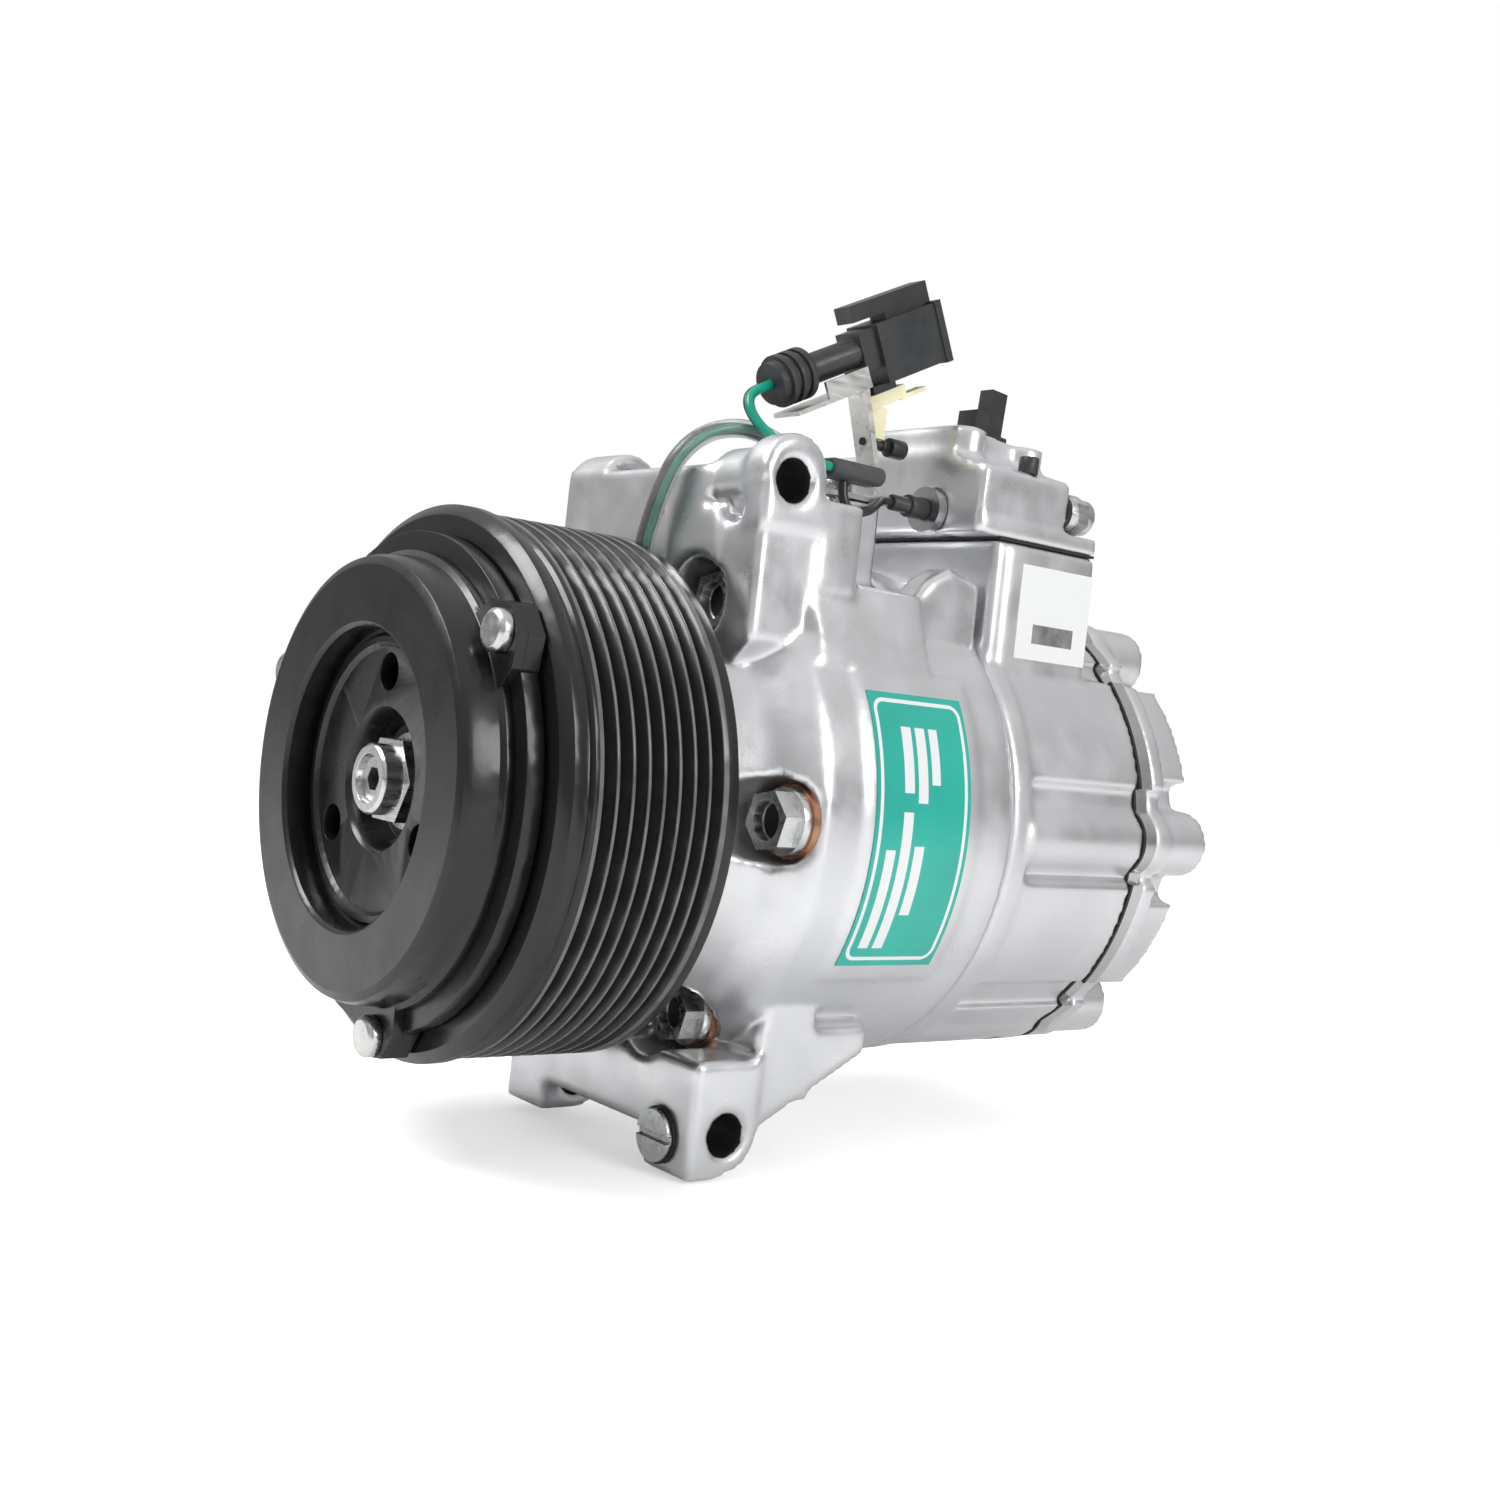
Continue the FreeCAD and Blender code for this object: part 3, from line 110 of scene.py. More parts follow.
class Finish:
    """A material with one principled shader and the few textures that feed it, all on Object coordinates."""

    def __init__(self, name, colour, metallic=0.0, roughness=0.5, **sockets):
        self.material = bpy.data.materials.new(name)
        self.material.use_nodes = True
        self.tree = self.material.node_tree
        self.shader = self.tree.nodes["Principled BSDF"]
        self.shader.inputs["Base Color"].default_value = (*colour, 1)
        self.shader.inputs["Metallic"].default_value = metallic
        self.shader.inputs["Roughness"].default_value = roughness
        for socket, value in sockets.items():
            self.shader.inputs[socket.replace("_", " ")].default_value = value
        self.place = self.add("ShaderNodeTexCoord").outputs["Object"]

    def add(self, kind, **settings):
        """New node with its settings."""
        made = self.tree.nodes.new(kind)
        for key, value in settings.items():
            setattr(made, key, value)
        return made

    def join(self, source, target):
        """Feeds a socket with another socket or with a plain value."""
        if isinstance(source, bpy.types.NodeSocket):
            self.tree.links.new(source, target)
        else:
            target.default_value = source

    def noise(self, scale, detail=3.0, squeeze=None):
        """Noise with so many lumps to the metre; squeeze scales the three axes apart."""
        made = self.add("ShaderNodeTexNoise")
        made.inputs["Scale"].default_value = scale
        made.inputs["Detail"].default_value = detail
        place = self.place
        if squeeze:
            mapping = self.add("ShaderNodeMapping")
            mapping.inputs["Scale"].default_value = squeeze
            self.join(place, mapping.inputs["Vector"])
            place = mapping.outputs["Vector"]
        self.join(place, made.inputs["Vector"])
        return made.outputs["Fac"]

    def sum(self, operation, *values):
        """Math node."""
        made = self.add("ShaderNodeMath", operation=operation)
        for value, target in zip(values, made.inputs):
            self.join(value, target)
        return made.outputs[0]

    def spread(self, value, low, high, bottom=0.3, top=0.7):
        """Value's range bottom to top stretched to low to high, held inside it."""
        made = self.add("ShaderNodeMapRange", clamp=True)
        for target, number in zip(made.inputs[1:5], (bottom, top, low, high)):
            target.default_value = number
        self.join(value, made.inputs[0])
        return made.outputs[0]

    def blend(self, amount, first, second):
        """Colour mix of two colours or colour sockets."""
        made = self.add("ShaderNodeMix", data_type="RGBA")
        self.join(amount, made.inputs["Factor"])
        for source, target in ((first, made.inputs[6]), (second, made.inputs[7])):
            self.join((*source, 1) if isinstance(source, tuple) else source, target)
        return made.outputs[2]

    def axes(self):
        """Object x, y and z as three sockets."""
        made = self.add("ShaderNodeSeparateXYZ")
        self.join(self.place, made.inputs[0])
        return made.outputs

    def reach(self, first, second):
        """Length of the long side over two short sides at right angles."""
        squares = [self.sum("MULTIPLY", side, side) for side in (first, second)]
        return self.sum("SQRT", self.sum("ADD", *squares))

    def radius(self):
        """Distance from the shaft's axis."""
        x, _, z = self.axes()
        return self.reach(x, z)

    def colour(self, source):
        """Feeds the base colour."""
        self.join(source, self.shader.inputs["Base Color"])

    def sheen(self, source):
        """Feeds the roughness."""
        self.join(source, self.shader.inputs["Roughness"])

    def relief(self, height, strength, depth):
        """Bump from a height, on top of any bump already there."""
        made = self.add("ShaderNodeBump")
        made.inputs["Strength"].default_value = strength
        made.inputs["Distance"].default_value = depth
        self.join(height, made.inputs["Height"])
        normal = self.shader.inputs["Normal"]
        if normal.links:
            self.join(normal.links[0].from_socket, made.inputs["Normal"])
        self.join(made.outputs["Normal"], normal)


def shade(colour, factor):
    """A colour made darker or lighter."""
    return tuple(min(1.0, part * factor) for part in colour)


def cast_skin(name, colour, gloss, grain):
    """Die-cast aluminium: bright satin skin with faint flow marks, pores and a fine grain."""
    made = Finish(name, colour, metallic=0.92, roughness=gloss)
    flow = made.noise(38, 4)
    pores = made.spread(made.noise(620, 2), 0, 1, 0.7, 0.76)
    clouds = made.blend(made.spread(flow, 0, 1), shade(colour, 0.92), shade(colour, 1.04))
    made.colour(made.blend(made.sum("MULTIPLY", pores, 0.18), clouds, shade(colour, 0.5)))
    made.sheen(made.spread(made.noise(95, 3), gloss - 0.07, gloss + 0.1))
    made.relief(made.noise(1500, 2), grain, 0.0002)
    made.relief(made.noise(190, 3), grain, 0.0006)
    made.relief(made.sum("SUBTRACT", 1.0, pores), grain * 0.3, 0.0001)
    return made


def paint_shade(made, where, colour, roughness):
    """Paints shade over a finish: a dark colour and more roughness where a value is 1."""
    sockets = made.shader.inputs
    plain, gloss = (sockets[name].links[0].from_socket for name in ("Base Color", "Roughness"))
    made.colour(made.blend(where, plain, colour))
    made.sheen(made.sum("MAXIMUM", gloss, made.sum("MULTIPLY", where, roughness)))


def paint_bore_shade(made, heights, reach):
    """Paints shade on the walls of the two lines of transverse mounting bores."""
    _, y, z = made.axes()
    inside = 0.0
    for height in heights:
        distance = made.reach(y, made.sum("SUBTRACT", z, height))
        inside = made.sum("MAXIMUM", inside, made.sum("LESS_THAN", distance, reach))
    paint_shade(made, inside, (0.06, 0.06, 0.062), 0.6)


def turned_metal(name, colour, gloss, lines):
    """Turned or ground metal with faint tool lines round the shaft."""
    made = Finish(name, colour, metallic=1.0, roughness=gloss)
    reach = made.radius()
    y = made.axes()[1]
    spot = made.add("ShaderNodeCombineXYZ")
    made.join(reach, spot.inputs[0])
    made.join(y, spot.inputs[1])
    tool = made.add("ShaderNodeTexNoise")
    tool.inputs["Scale"].default_value = lines
    made.join(spot.outputs[0], tool.inputs["Vector"])
    made.colour(made.blend(made.spread(made.noise(60), 0, 1), shade(colour, 0.85), shade(colour, 1.05)))
    made.sheen(made.spread(made.noise(240), gloss - 0.06, gloss + 0.1))
    made.relief(tool.outputs["Fac"], 0.12, 0.0001)
    return made.material


def plated_metal(name, colour, cast, gloss):
    """Zinc plate: small cloudy patches of two tints, with handling marks."""
    made = Finish(name, colour, metallic=1.0, roughness=gloss)
    made.colour(made.blend(made.spread(made.noise(260, 4), 0, 1), colour, cast))
    scuffs = made.noise(700, 2, (1, 0.15, 1))
    made.sheen(made.spread(scuffs, gloss - 0.06, gloss + 0.16))
    made.relief(made.noise(900, 2), 0.08, 0.0002)
    return made


def paint_bolt_hollow_shade(made, circle, count, reach, depth):
    """Paints shade in the hollow in the head of each bolt of a ring round the shaft."""
    x, y, z = made.axes()
    step = math.tau / count
    turn = made.sum("ARCTAN2", z, x)
    nearest = made.sum("MULTIPLY", made.sum("ROUND", made.sum("DIVIDE", turn, step)), step)
    rest = made.sum("SUBTRACT", turn, nearest)
    away = made.radius()
    across = made.sum("SUBTRACT", made.sum("MULTIPLY", away, made.sum("COSINE", rest)), circle)
    along = made.sum("MULTIPLY", away, made.sum("SINE", rest))
    inside = made.spread(made.reach(across, along), 1, 0, reach * 0.9, reach)
    hollow = made.sum("MULTIPLY", inside, made.sum("LESS_THAN", y, depth))
    paint_shade(made, hollow, (0.05, 0.05, 0.05), 0.6)


def black_coat(name, colour, gloss):
    """Black dip coat: deep gloss with a slight orange peel, dust and rubbed spots."""
    made = Finish(name, colour, roughness=gloss, Specular_IOR_Level=0.42, Coat_Weight=0.2,
                  Coat_Roughness=0.12)
    dust = made.spread(made.noise(70, 5), 0, 1, 0.52, 0.8)
    made.colour(made.blend(dust, colour, shade(colour, 1.6)))
    made.sheen(made.spread(made.noise(120, 4), gloss - 0.05, gloss + 0.12))
    made.relief(made.noise(420, 2), 0.07, 0.0003)
    return made


def between(made, value, low, high):
    """1 where a value lies between two others."""
    return made.sum("MULTIPLY", made.sum("GREATER_THAN", value, low), made.sum("LESS_THAN", value, high))


def belt_coat(name, colour, gloss, crest, crest_highlight):
    """The pulley's coat, with a highlight painted in patches along the rib crests and rougher grooves."""
    made = black_coat(name, colour, gloss)
    reach = made.radius()
    y = made.axes()[1]
    ribbed = between(made, y, RIBBED_FROM, RIBBED_TO)
    # painted highlight: a lighter colour on the top of each rib crest
    crest_highlight_mask = made.sum("MULTIPLY", made.spread(reach, 0, 1, crest - 0.25 * MM, crest - 0.02 * MM), ribbed)
    patchy = made.sum("MULTIPLY", crest_highlight_mask, made.spread(made.noise(160, 3), 0.55, 1))
    previous = made.shader.inputs["Base Color"].links[0].from_socket
    made.colour(made.blend(patchy, previous, crest_highlight))
    deep = made.sum("MULTIPLY", made.spread(reach, 1, 0, crest - 1.4 * MM, crest - 0.5 * MM), ribbed)
    made.sheen(made.sum("ADD", gloss, made.sum("MULTIPLY", deep, 0.45)))
    return made.material


def moulded(name, colour, gloss, grain, **sockets):
    """Moulded plastic or rubber with a fine grain and slight mottling."""
    made = Finish(name, colour, roughness=gloss, **sockets)
    made.colour(made.blend(made.spread(made.noise(90, 4), 0, 1), shade(colour, 0.8), shade(colour, 1.25)))
    made.sheen(made.spread(made.noise(210, 3), gloss - 0.06, gloss + 0.1))
    made.relief(made.noise(1700, 2), grain, 0.00015)
    return made.material


def rating_foil(name, foil, paper):
    """Blank rating label: coloured foil with a pale border line and empty pale fields."""
    made = Finish(name, foil, roughness=0.34, Coat_Weight=0.3, Coat_Roughness=0.2)
    x, y, z = made.axes()
    middle_along, middle_round = LABEL_MIDDLE
    along = made.sum("MULTIPLY", made.sum("SUBTRACT", y, middle_along * MM), 1 / MM)
    round_it = made.sum("MULTIPLY", made.sum("ARCTAN2", z, x), LABEL_RADIUS)
    marks = 0.0
    for low, high, start, end in LABEL_FIELDS:
        field = made.sum("MULTIPLY", between(made, along, low, high), between(made, round_it, start, end))
        marks = made.sum("MAXIMUM", marks, field)
    places = (along, made.sum("SUBTRACT", round_it, middle_round))
    past = [made.sum("MAXIMUM", made.sum("SUBTRACT", made.sum("ABSOLUTE", place), half - LABEL_CORNER), 0.0)
            for place, half in zip(places, LABEL_HALF)]
    inner, outer = (LABEL_CORNER - inset for inset in LABEL_BORDER)
    border = between(made, made.reach(*past), inner, outer)
    ground = made.blend(made.spread(made.noise(80), 0, 1), shade(foil, 0.93), shade(foil, 1.08))
    made.colour(made.blend(made.sum("MAXIMUM", marks, border), ground, paper))
    made.relief(made.noise(500, 2), 0.05, 0.0002)
    return made.material


def serial_paper(name, paper, ink):
    """Blank serial label: white paper with one grey panel."""
    made = Finish(name, paper, roughness=0.55)
    _, y, z = made.axes()
    along, upright = SERIAL_PANEL
    panel = made.sum("MULTIPLY", between(made, y, *along), between(made, z, *upright))
    made.colour(made.blend(made.sum("MULTIPLY", panel, made.spread(made.noise(300), 0.8, 1)), paper, ink))
    made.relief(made.noise(800, 2), 0.04, 0.0001)
    return made.material


def wire_coat(name, colour, gloss, **sockets):
    """Plastic wire insulation, slightly uneven along its length."""
    made = Finish(name, colour, roughness=gloss, **sockets)
    made.colour(made.blend(made.spread(made.noise(180, 3), 0, 1), shade(colour, 0.85), shade(colour, 1.12)))
    made.relief(made.noise(260, 2), 0.08, 0.0003)
    return made.material


# ---------------------------------------------------------------- shaping
def finish_node(node, material):
    """Gives a part of the frame its finish."""
    part = NODES[node]
    part.data.materials.clear()
    part.data.materials.append(material)
    return part


def cast_form(node, material, fillet, passes):
    """Rounds a casting as its mould does: even mesh, then softened edges."""
    part = finish_node(node, material)
    part.modifiers.new("merge", "WELD").merge_threshold = CAST_MERGE
    skin = part.modifiers.new("skin", "REMESH")
    skin.mode = "VOXEL"
    skin.voxel_size = fillet
    skin.use_smooth_shade = True
    soft = part.modifiers.new("soften", "SMOOTH")
    soft.factor = 0.5
    soft.iterations = passes


def broken_edges(node, material, width, segments=2, sharp=32.0):
    """Breaks the sharp edges of a machined, pressed or moulded part."""
    part = finish_node(node, material)
    part.modifiers.new("merge", "WELD").merge_threshold = PART_MERGE
    flat = part.modifiers.new("flatten", "DECIMATE")
    flat.decimate_type = "DISSOLVE"
    flat.angle_limit = math.radians(0.6)
    edge = part.modifiers.new("edges", "BEVEL")
    edge.width = width
    edge.segments = segments
    edge.limit_method = "ANGLE"
    edge.angle_limit = math.radians(sharp)
    edge.harden_normals = True


def wire(name, points, radius, material, shift=(0, 0, 0)):
    """Round wire along a smooth line whose control points are millimetres."""
    line = bpy.data.curves.new(name, "CURVE")
    line.dimensions = "3D"
    line.bevel_depth = radius
    line.bevel_resolution = 5
    line.resolution_u = 8
    line.use_fill_caps = True
    spline = line.splines.new("NURBS")
    spline.points.add(len(points) - 1)
    for spot, place in zip(spline.points, points):
        spot.co = (*[(a + b) * MM for a, b in zip(place, shift)], 1)
    spline.order_u = 3
    spline.use_endpoint_u = True
    line.materials.append(material)
    made = bpy.data.objects.new(name, line)
    bpy.context.collection.objects.link(made)
    return made


# ---------------------------------------------------------------- settings
def tint(name, words, default):
    """A colour setting."""
    return FloatVectorProperty(name=name, description=words, default=default, subtype="COLOR", size=3,
                               min=0, max=1)


def size(name, words, default):
    """A length setting."""
    return FloatProperty(name=name, description=words, unit="LENGTH", min=0, default=default)


def share(name, words, default):
    """A setting between 0 and 1."""
    return FloatProperty(name=name, description=words, subtype="FACTOR", default=default)


class CastingSettings(bpy.types.PropertyGroup):
    """Castings."""
    fillet: size("Fillet", "Edge length of the even mesh, which rounds the cast edges", 0.00108)
    passes: IntProperty(name="Softening", description="Passes of edge softening", min=0, default=3)
    metal: tint("Metal", "Colour of the cast aluminium", (0.74, 0.745, 0.76))
    gloss: share("Roughness", "Roughness of the cast skin", 0.32)
    grain: share("Grain", "Strength of the cast grain", 0.10)
    # radius inside which shade is painted on the walls of the mounting bores
    bore: size("Bore", "Radius inside which the mounting bores look dark", 0.0046)


class ClutchSettings(bpy.types.PropertyGroup):
    """Clutch and pulley."""
    coat: tint("Coat", "Colour of the black dip coat", (0.006, 0.006, 0.0065))
    gloss: share("Roughness", "Roughness of the coat", 0.27)
    crest: size("Crest radius", "Radius of the pulley's rib crests", 0.05607)
    # colour of the highlight painted along the rib crests
    crest_highlight: tint("Rubbed metal", "Colour of the rubbed rib crests", (0.16, 0.165, 0.17))
    edge: size("Edge", "Width of the broken edges", 0.0004)
    rib_edge: size("Rib edge", "Width of the pulley's broken edges", 0.00012)


class HardwareSettings(bpy.types.PropertyGroup):
    """Bolts, washers and inner parts."""
    zinc: tint("Zinc", "First tint of the zinc plate", (0.68, 0.675, 0.65))
    zinc_cast: tint("Zinc cast", "Second tint of the zinc plate", (0.56, 0.58, 0.59))
    steel: tint("Steel", "Colour of ground steel", (0.56, 0.56, 0.57))
    copper: tint("Copper", "Colour of the sealing washers", (0.50, 0.26, 0.16))
    edge: size("Edge", "Width of the broken edges", 0.00025)
    bolt_circle: size("Bolt circle", "Radius of the through bolts' circle", 0.0505)


class WiringSettings(bpy.types.PropertyGroup):
    """Connector and leads."""
    plastic: tint("Plastic", "Colour of the connector", (0.028, 0.03, 0.032))
    nylon: tint("Clip", "Colour of the unpigmented clip", (0.80, 0.74, 0.50))
    first_wire: tint("Teal wire", "Colour of the first wire", (0.0, 0.30, 0.20))
    second_wire: tint("Dark wire", "Colour of the second wire", (0.02, 0.02, 0.022))
    sleeve: tint("Sleeve", "Tint of the clear sleeve", (0.86, 0.88, 0.88))
    edge: size("Edge", "Width of the moulded edges", 0.0004)
    splice_edge: size("Splice edge", "Width of the splice sleeve's rounded ends", 0.0008)


class LabelSettings(bpy.types.PropertyGroup):
    """Labels."""
    foil: tint("Foil", "Colour of the rating label", (0.012, 0.40, 0.32))
    paper: tint("Paper", "Colour of the label fields and the serial label", (0.78, 0.79, 0.79))
    panel: tint("Panel", "Colour of the serial label's panel", (0.13, 0.125, 0.12))


class StudioSettings(bpy.types.PropertyGroup):
    """Floor, lights and camera."""
    reach: size("Floor", "Radius of the floor", 3.0)
    tone: tint("Floor tone", "Colour of the floor", (0.93, 0.93, 0.93))
    lift: FloatProperty(name="Floor glow", description="How much the floor itself is brightened", default=0.45)
    glow: FloatProperty(name="Surrounding light", description="Strength of the light all round", default=0.55)
    key: FloatProperty(name="Key light", description="Power of the main soft light", unit="POWER", default=7.0)
    fill: FloatProperty(name="Fill light", description="Power of the side light", unit="POWER", default=3.5)
    lens: FloatProperty(name="Lens", description="Focal length", unit="CAMERA", default=41.64)


# ---------------------------------------------------------------- operators
class MakeCastings(bpy.types.Operator):
    """Round and finish the front housing, cylinder block, rear head and port block"""
    bl_idname = "compressor.castings"
    bl_label = "Castings"

    def execute(self, context):
        """Each casting has its own slightly different skin."""
        use = context.scene.compressor_castings
        for node, tone, gloss in (("front_housing", 1.0, 0.0), ("cylinder_block", 0.95, 0.03),
                                  ("rear_head", 0.97, 0.04), ("port_block", 1.0, 0.02)):
            skin = cast_skin("cast_" + node, shade(use.metal, tone), use.gloss + gloss, use.grain)
            # painted shade on the walls of the front housing's mounting bores
            if node == "front_housing":
                paint_bore_shade(skin, BORE_HEIGHTS, use.bore)
            cast_form(node, skin.material, use.fillet, use.passes)
        return {"FINISHED"}


class MakeClutch(bpy.types.Operator):
    """Finish the clutch cup, hub, armature, damper ring and coil"""
    bl_idname = "compressor.clutch"
    bl_label = "Clutch"

    def execute(self, context):
        """Black coated pressings, rubber damper and potted coil."""
        use = context.scene.compressor_clutch
        for node in ("clutch_cup", "hub_plate", "armature_plate", "coil_shell", "lug_plate"):
            broken_edges(node, black_coat("coat_" + node, tuple(use.coat), use.gloss).material, use.edge)
        finish_node("rubber_damper", moulded("damper_rubber", (0.02, 0.02, 0.021), 0.6, 0.2))
        finish_node("coil_winding", moulded("potting_resin", (0.07, 0.035, 0.02), 0.35, 0.1))
        return {"FINISHED"}


class MakePulley(bpy.types.Operator):
    """Finish the ribbed pulley and its bearing"""
    bl_idname = "compressor.pulley"
    bl_label = "Pulley and bearing"

    def execute(self, context):
        """Coated ribs with a highlight painted on the crests, ground bearing."""
        use = context.scene.compressor_clutch
        coat = belt_coat("belt_coat", tuple(use.coat), use.gloss, use.crest, tuple(use.crest_highlight))
        broken_edges("pulley", coat, use.rib_edge)
        steel = turned_metal("bearing_steel", tuple(context.scene.compressor_hardware.steel), 0.22, 3000)
        for node in ("bearing_outer_ring", "bearing_inner_ring", "bearing_balls", "snap_rings"):
            finish_node(node, steel)
        finish_node("bearing_seals", moulded("seal_rubber", (0.03, 0.03, 0.03), 0.5, 0.15))
        return {"FINISHED"}


class MakeFasteners(bpy.types.Operator):
    """Finish the nut, rivets, bolts, plugs and copper washers"""
    bl_idname = "compressor.fasteners"
    bl_label = "Fasteners"

    def execute(self, context):
        """Zinc plate with broken edges, plain copper washers."""
        use = context.scene.compressor_hardware
        zinc = plated_metal("zinc_plate", tuple(use.zinc), tuple(use.zinc_cast), 0.22).material
        for node in ("hub_nut", "clutch_rivets", "drain_plug", "port_block_bolts", "relief_valve",
                     "bracket_screw"):
            broken_edges(node, zinc, use.edge, sharp=25)
        bolts = plated_metal("bolt_zinc_hollow_shade", tuple(use.zinc), tuple(use.zinc_cast), 0.24)
        # painted shade in the hollow of each through bolt's head
        paint_bolt_hollow_shade(bolts, use.bolt_circle, BOLT_COUNT, BOLT_HOLLOW, BOLT_HOLLOW_END)
        broken_edges("through_bolts", bolts.material, use.edge, sharp=25)
        sheet = plated_metal("bracket_zinc", shade(use.zinc, 1.05), tuple(use.zinc), 0.3)
        broken_edges("connector_bracket", sheet.material, use.edge)
        copper = plated_metal("copper_plain", tuple(use.copper), shade(use.copper, 0.8), 0.34)
        finish_node("copper_washers", copper.material)
        return {"FINISHED"}


class MakeInnerParts(bpy.types.Operator):
    """Finish the shaft, swash drive, pistons, plates, gaskets and valves"""
    bl_idname = "compressor.inner_parts"
    bl_label = "Inner parts"

    def execute(self, context):
        """Ground steel, bright aluminium pistons, dark gaskets."""
        use = context.scene.compressor_hardware
        steel = turned_metal("ground_steel", tuple(use.steel), 0.24, 2500)
        for node in ("drive_shaft", "hinge_pin", "swash_plate", "swash_spring", "needle_bearings",
                     "front_thrust_bearing", "rear_thrust_washer", "piston_shoes", "check_valve_poppet",
                     "check_valve_spring", "control_valve_body", "control_valve_spool", "valve_plate",
                     "suction_reed_plate", "discharge_reed_plate"):
            finish_node(node, steel)
        finish_node("pistons", turned_metal("piston_aluminium", (0.72, 0.72, 0.74), 0.3, 2500))
        rubber = moulded("gasket_rubber", (0.012, 0.012, 0.012), 0.55, 0.1)
        for node in ("rear_gasket", "port_gasket", "seal_rings", "shaft_seal"):
            finish_node(node, rubber)
        return {"FINISHED"}


class MakeConnector(bpy.types.Operator):
    """Finish the wire connector, its boot, terminals and clips, and the port caps"""
    bl_idname = "compressor.connector"
    bl_label = "Connector and caps"

    def execute(self, context):
        """Black mouldings, natural nylon clip, tinned terminals."""
        use = context.scene.compressor_wiring
        plastic = moulded("connector_plastic", tuple(use.plastic), 0.38, 0.14)
        for node in ("connector_body", "port_cap", "hole_cap", "control_valve_coil"):
            broken_edges(node, plastic, use.edge)
        dark = moulded("peg_plastic", (0.014, 0.014, 0.014), 0.35, 0.1)
        broken_edges("bracket_peg", dark, use.edge)
        broken_edges("connector_boot", moulded("boot_rubber", (0.022, 0.022, 0.024), 0.5, 0.15), use.edge)
        clip = moulded("natural_nylon", tuple(use.nylon), 0.42, 0.08, Subsurface_Weight=0.15,
                       Subsurface_Scale=0.002)
        broken_edges("connector_clip", clip, use.edge)
        tin = plated_metal("tinned_brass", (0.76, 0.75, 0.70), (0.66, 0.66, 0.64), 0.2)
        finish_node("connector_terminals", tin.material)
        rubber = moulded("sleeve_rubber", (0.055, 0.058, 0.06), 0.5, 0.1)
        broken_edges("splice_sleeve", rubber, use.splice_edge, segments=3)
        return {"FINISHED"}


# the leads' routes in millimetres
CLUTCH_LEAD = [(9, -17.5, 40), (9, -13.8, 40), (9, -11, 43), (9, -11, 47), (10, -11.5, 53.5),
               (12.4, -11.9, 60), (15.6, -12.1, 66.5), (18.6, -11.2, 73.2), (20.4, -6, 79),
               (22.5, 1.5, 81.5), (25.2, 7.3, 80.4), (27.8, 12.2, 77.4), (29, 16.2, 75.6), (29, 19.5, 75.6)]
PLUG_LEAD = [(32.4, 19.5, 75.6), (32.4, 16.3, 75.6), (31.8, 11, 76.6), (30.2, 6.2, 78.6),
             (28.3, 2.6, 81.3), (26.2, 0.9, 84.6), (24.6, 1.6, 87.9), (24, 4.37, 89.97), (24, 7.4, 91.51)]
VALVE_LEAD = [(28.6, 41.6, 71.6), (28.6, 38.4, 71.6), (31.4, 34.6, 69.4), (33.4, 30.4, 67.4),
              (32.4, 26.3, 66.8), (31, 24.9, 70), (31, 24.9, 73.3)]
SLEEVE_RADIUS = 2.0 * MM
THIN_WIRE_RADIUS = 0.8 * MM
PLUG_WIRE_RADIUS = 1.05 * MM
VALVE_WIRE_RADIUS = 1.1 * MM
# how far the two wires lie to either side of the sleeve's middle, and the dark plug wire from the teal one
WIRE_SHIFT = 0.9
PLUG_WIRE_SHIFT = (-2.2, 0.9, 0.5)


class MakeLeads(bpy.types.Operator):
    """Model the coil's sleeved lead and the leads of the connector and the control valve"""
    bl_idname = "compressor.leads"
    bl_label = "Leads"

    def execute(self, context):
        """Two wires in a clear sleeve from the coil, two to the plug and one to the valve."""
        use = context.scene.compressor_wiring
        teal = wire_coat("teal_insulation", tuple(use.first_wire), 0.3)
        dark = wire_coat("dark_insulation", tuple(use.second_wire), 0.3)
        clear = wire_coat("clear_sleeve", tuple(use.sleeve), 0.18, Transmission_Weight=0.85, IOR=1.3)
        sleeve = wire("coil_lead_sleeve", CLUTCH_LEAD, SLEEVE_RADIUS, clear)
        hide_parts("clutch_lead")
        made = [sleeve]
        for name, side, coat in (("coil_wire_teal", 1, teal), ("coil_wire_dark", -1, dark)):
            made.append(wire(name, CLUTCH_LEAD, THIN_WIRE_RADIUS, coat, (side * WIRE_SHIFT, 0, 0)))
        plug = wire("plug_wire_teal", PLUG_LEAD, PLUG_WIRE_RADIUS, teal)
        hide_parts("connector_lead")
        second = wire("plug_wire_dark", PLUG_LEAD, THIN_WIRE_RADIUS, dark, PLUG_WIRE_SHIFT)
        valve = wire("valve_wire_dark", VALVE_LEAD, VALVE_WIRE_RADIUS, dark)
        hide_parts("valve_lead")
        for piece in (*made, plug, second, valve):
            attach(piece, "casing")
        return {"FINISHED"}


class MakeLabels(bpy.types.Operator):
    """Finish the blank rating label and the blank serial label"""
    bl_idname = "compressor.labels"
    bl_label = "Labels"

    def execute(self, context):
        """Foil and paper without any lettering."""
        use = context.scene.compressor_labels
        finish_node("rating_label", rating_foil("rating_foil", tuple(use.foil), tuple(use.paper)))
        finish_node("serial_label", serial_paper("serial_paper", tuple(use.paper), tuple(use.panel)))
        return {"FINISHED"}


def soft_light(name, place, width, power):
    """Large round area light that points at the middle of the compressor."""
    lamp = bpy.data.lights.new(name, "AREA")
    lamp.shape = "DISK"
    lamp.size = width
    lamp.energy = power
    made = bpy.data.objects.new(name, lamp)
    made.location = place
    made.rotation_euler = (Vector(LIT_MIDDLE) - Vector(place)).to_track_quat("-Z", "Y").to_euler()
    bpy.context.collection.objects.link(made)


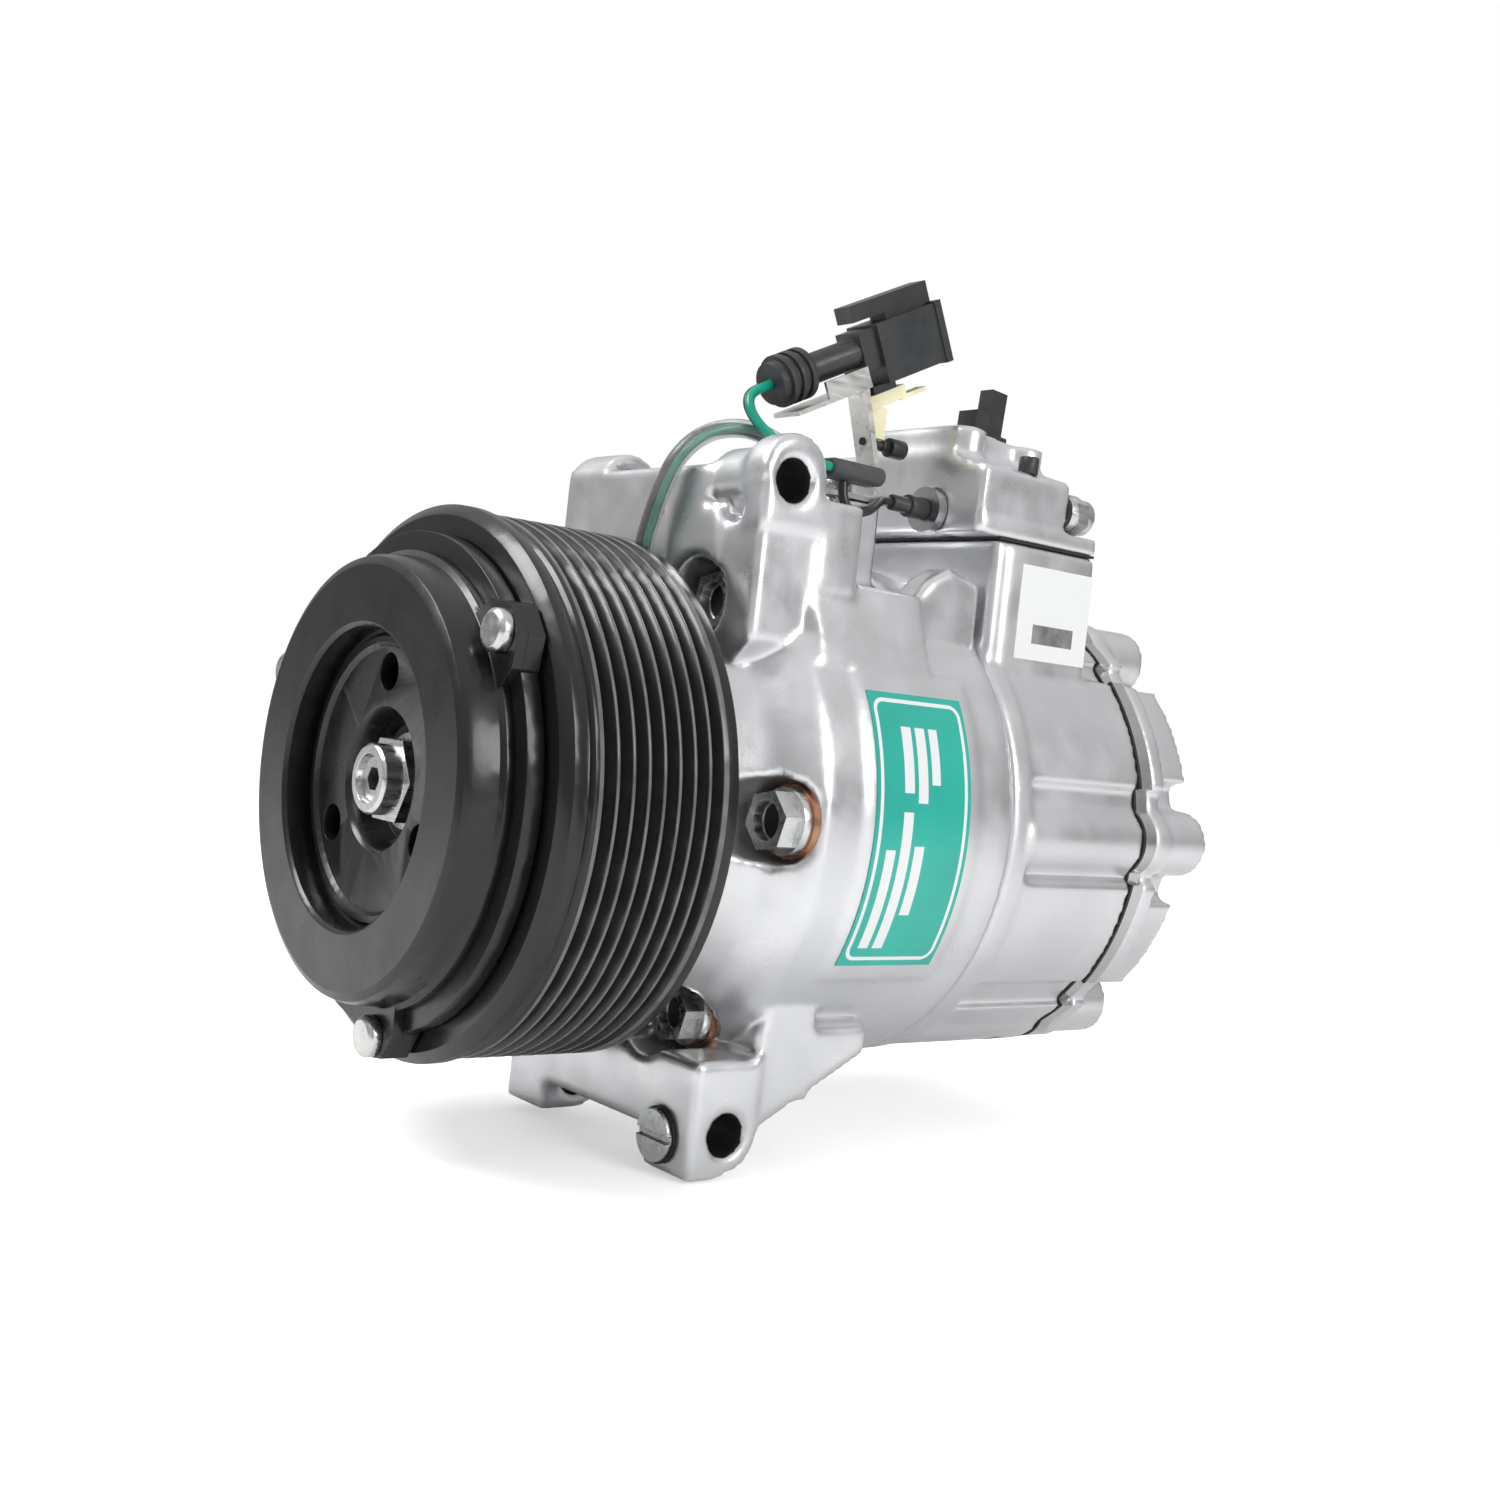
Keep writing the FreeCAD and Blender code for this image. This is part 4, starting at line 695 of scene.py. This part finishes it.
def pale_floor(use):
    """Round floor just under the lowest ear; its glow is only seen straight from the camera."""
    mesh = bpy.data.meshes.new("floor")
    shape = bmesh.new()
    bmesh.ops.create_circle(shape, cap_ends=True, segments=96, radius=use.reach)
    bmesh.ops.translate(shape, verts=shape.verts, vec=(0, 0, CAD_BOX[0][2] - 0.5 * MM))
    shape.to_mesh(mesh)
    shape.free()
    floor = bpy.data.objects.new("floor", mesh)
    bpy.context.collection.objects.link(floor)
    paint = Finish("floor_paint", tuple(use.tone), roughness=0.75)
    clouds = paint.spread(paint.noise(3), 0, 1)
    paint.colour(paint.blend(clouds, shade(use.tone, 0.995), shade(use.tone, 1.005)))
    paint.shader.inputs["Emission Color"].default_value = (1, 1, 1, 1)
    straight = paint.add("ShaderNodeLightPath").outputs["Is Camera Ray"]
    paint.join(paint.sum("MULTIPLY", straight, use.lift), paint.shader.inputs["Emission Strength"])
    floor.data.materials.append(paint.material)


def surrounding_light(use):
    """White world, brighter above than below, that the camera itself sees as plain white."""
    world = bpy.data.worlds.new("studio")
    world.use_nodes = True
    sky = world.node_tree
    room = sky.nodes["Background"]
    room.inputs["Color"].default_value = (1, 1, 1, 1)
    way = sky.nodes.new("ShaderNodeTexCoord")
    split = sky.nodes.new("ShaderNodeSeparateXYZ")
    height = sky.nodes.new("ShaderNodeMapRange")
    seen = sky.nodes.new("ShaderNodeLightPath")
    pick = sky.nodes.new("ShaderNodeMix")
    sky.links.new(way.outputs["Generated"], split.inputs[0])
    sky.links.new(split.outputs[2], height.inputs[0])
    for target, number in zip(height.inputs[1:5], (-0.1, 0.9, 0.35 * use.glow, 1.5 * use.glow)):
        target.default_value = number
    sky.links.new(seen.outputs["Is Camera Ray"], pick.inputs[0])
    sky.links.new(height.outputs[0], pick.inputs[2])
    pick.inputs[3].default_value = 1.0
    sky.links.new(pick.outputs[0], room.inputs["Strength"])
    return world


def front_camera(lens):
    """Camera in front and to the right, about level with the shaft."""
    eye = bpy.data.cameras.new("camera")
    eye.lens = lens
    eye.sensor_width = 36
    eye.clip_start = 0.01
    camera = bpy.data.objects.new("camera", eye)
    camera.location = CAMERA_PLACE
    camera.rotation_euler = [math.radians(angle) for angle in CAMERA_TURN]
    bpy.context.collection.objects.link(camera)
    return camera


class MakeStage(bpy.types.Operator):
    """Make the pale floor, the soft lights and the camera"""
    bl_idname = "compressor.stage"
    bl_label = "Stage"

    def execute(self, context):
        """Floor under the lowest ear, light all round, one camera."""
        use = context.scene.compressor_studio
        pale_floor(use)
        context.scene.world = surrounding_light(use)
        soft_light("key", KEY_PLACE, KEY_WIDTH, use.key)
        soft_light("side", SIDE_PLACE, SIDE_WIDTH, use.fill)
        context.scene.camera = front_camera(use.lens)
        context.scene.view_settings.view_transform = "Standard"
        return {"FINISHED"}


SETTINGS = (("compressor_castings", CastingSettings), ("compressor_clutch", ClutchSettings),
            ("compressor_hardware", HardwareSettings), ("compressor_wiring", WiringSettings),
            ("compressor_labels", LabelSettings), ("compressor_studio", StudioSettings))
STEPS = (MakeCastings, MakeClutch, MakePulley, MakeFasteners, MakeInnerParts, MakeConnector, MakeLeads,
         MakeLabels, MakeStage)


class CompressorPanel(bpy.types.Panel):
    """Sidebar panel with the settings and the steps"""
    bl_idname = "VIEW3D_PT_compressor"
    bl_label = "Compressor"
    bl_space_type = "VIEW_3D"
    bl_region_type = "UI"
    bl_category = "Compressor"

    def draw(self, context):
        """One box for each group of settings, then the steps in order."""
        for name, group in SETTINGS:
            column = self.layout.box().column(align=True)
            column.label(text=group.__doc__)
            for setting in group.__annotations__:
                column.prop(getattr(context.scene, name), setting)
        for step in STEPS:
            self.layout.operator(step.bl_idname)


def register():
    """Makes the settings, steps and panel known."""
    for name, group in SETTINGS:
        bpy.utils.register_class(group)
        setattr(bpy.types.Scene, name, PointerProperty(type=group))
    for step in STEPS:
        bpy.utils.register_class(step)
    bpy.utils.register_class(CompressorPanel)


def unregister():
    """Takes them away again."""
    bpy.utils.unregister_class(CompressorPanel)
    for step in reversed(STEPS):
        bpy.utils.unregister_class(step)
    for name, group in reversed(SETTINGS):
        delattr(bpy.types.Scene, name)
        bpy.utils.unregister_class(group)


def main():
    """Builds everything in order."""
    register()
    for step in STEPS:
        group, action = step.bl_idname.split(".")
        getattr(getattr(bpy.ops, group), action)()


if __name__ == "__main__":
    main()
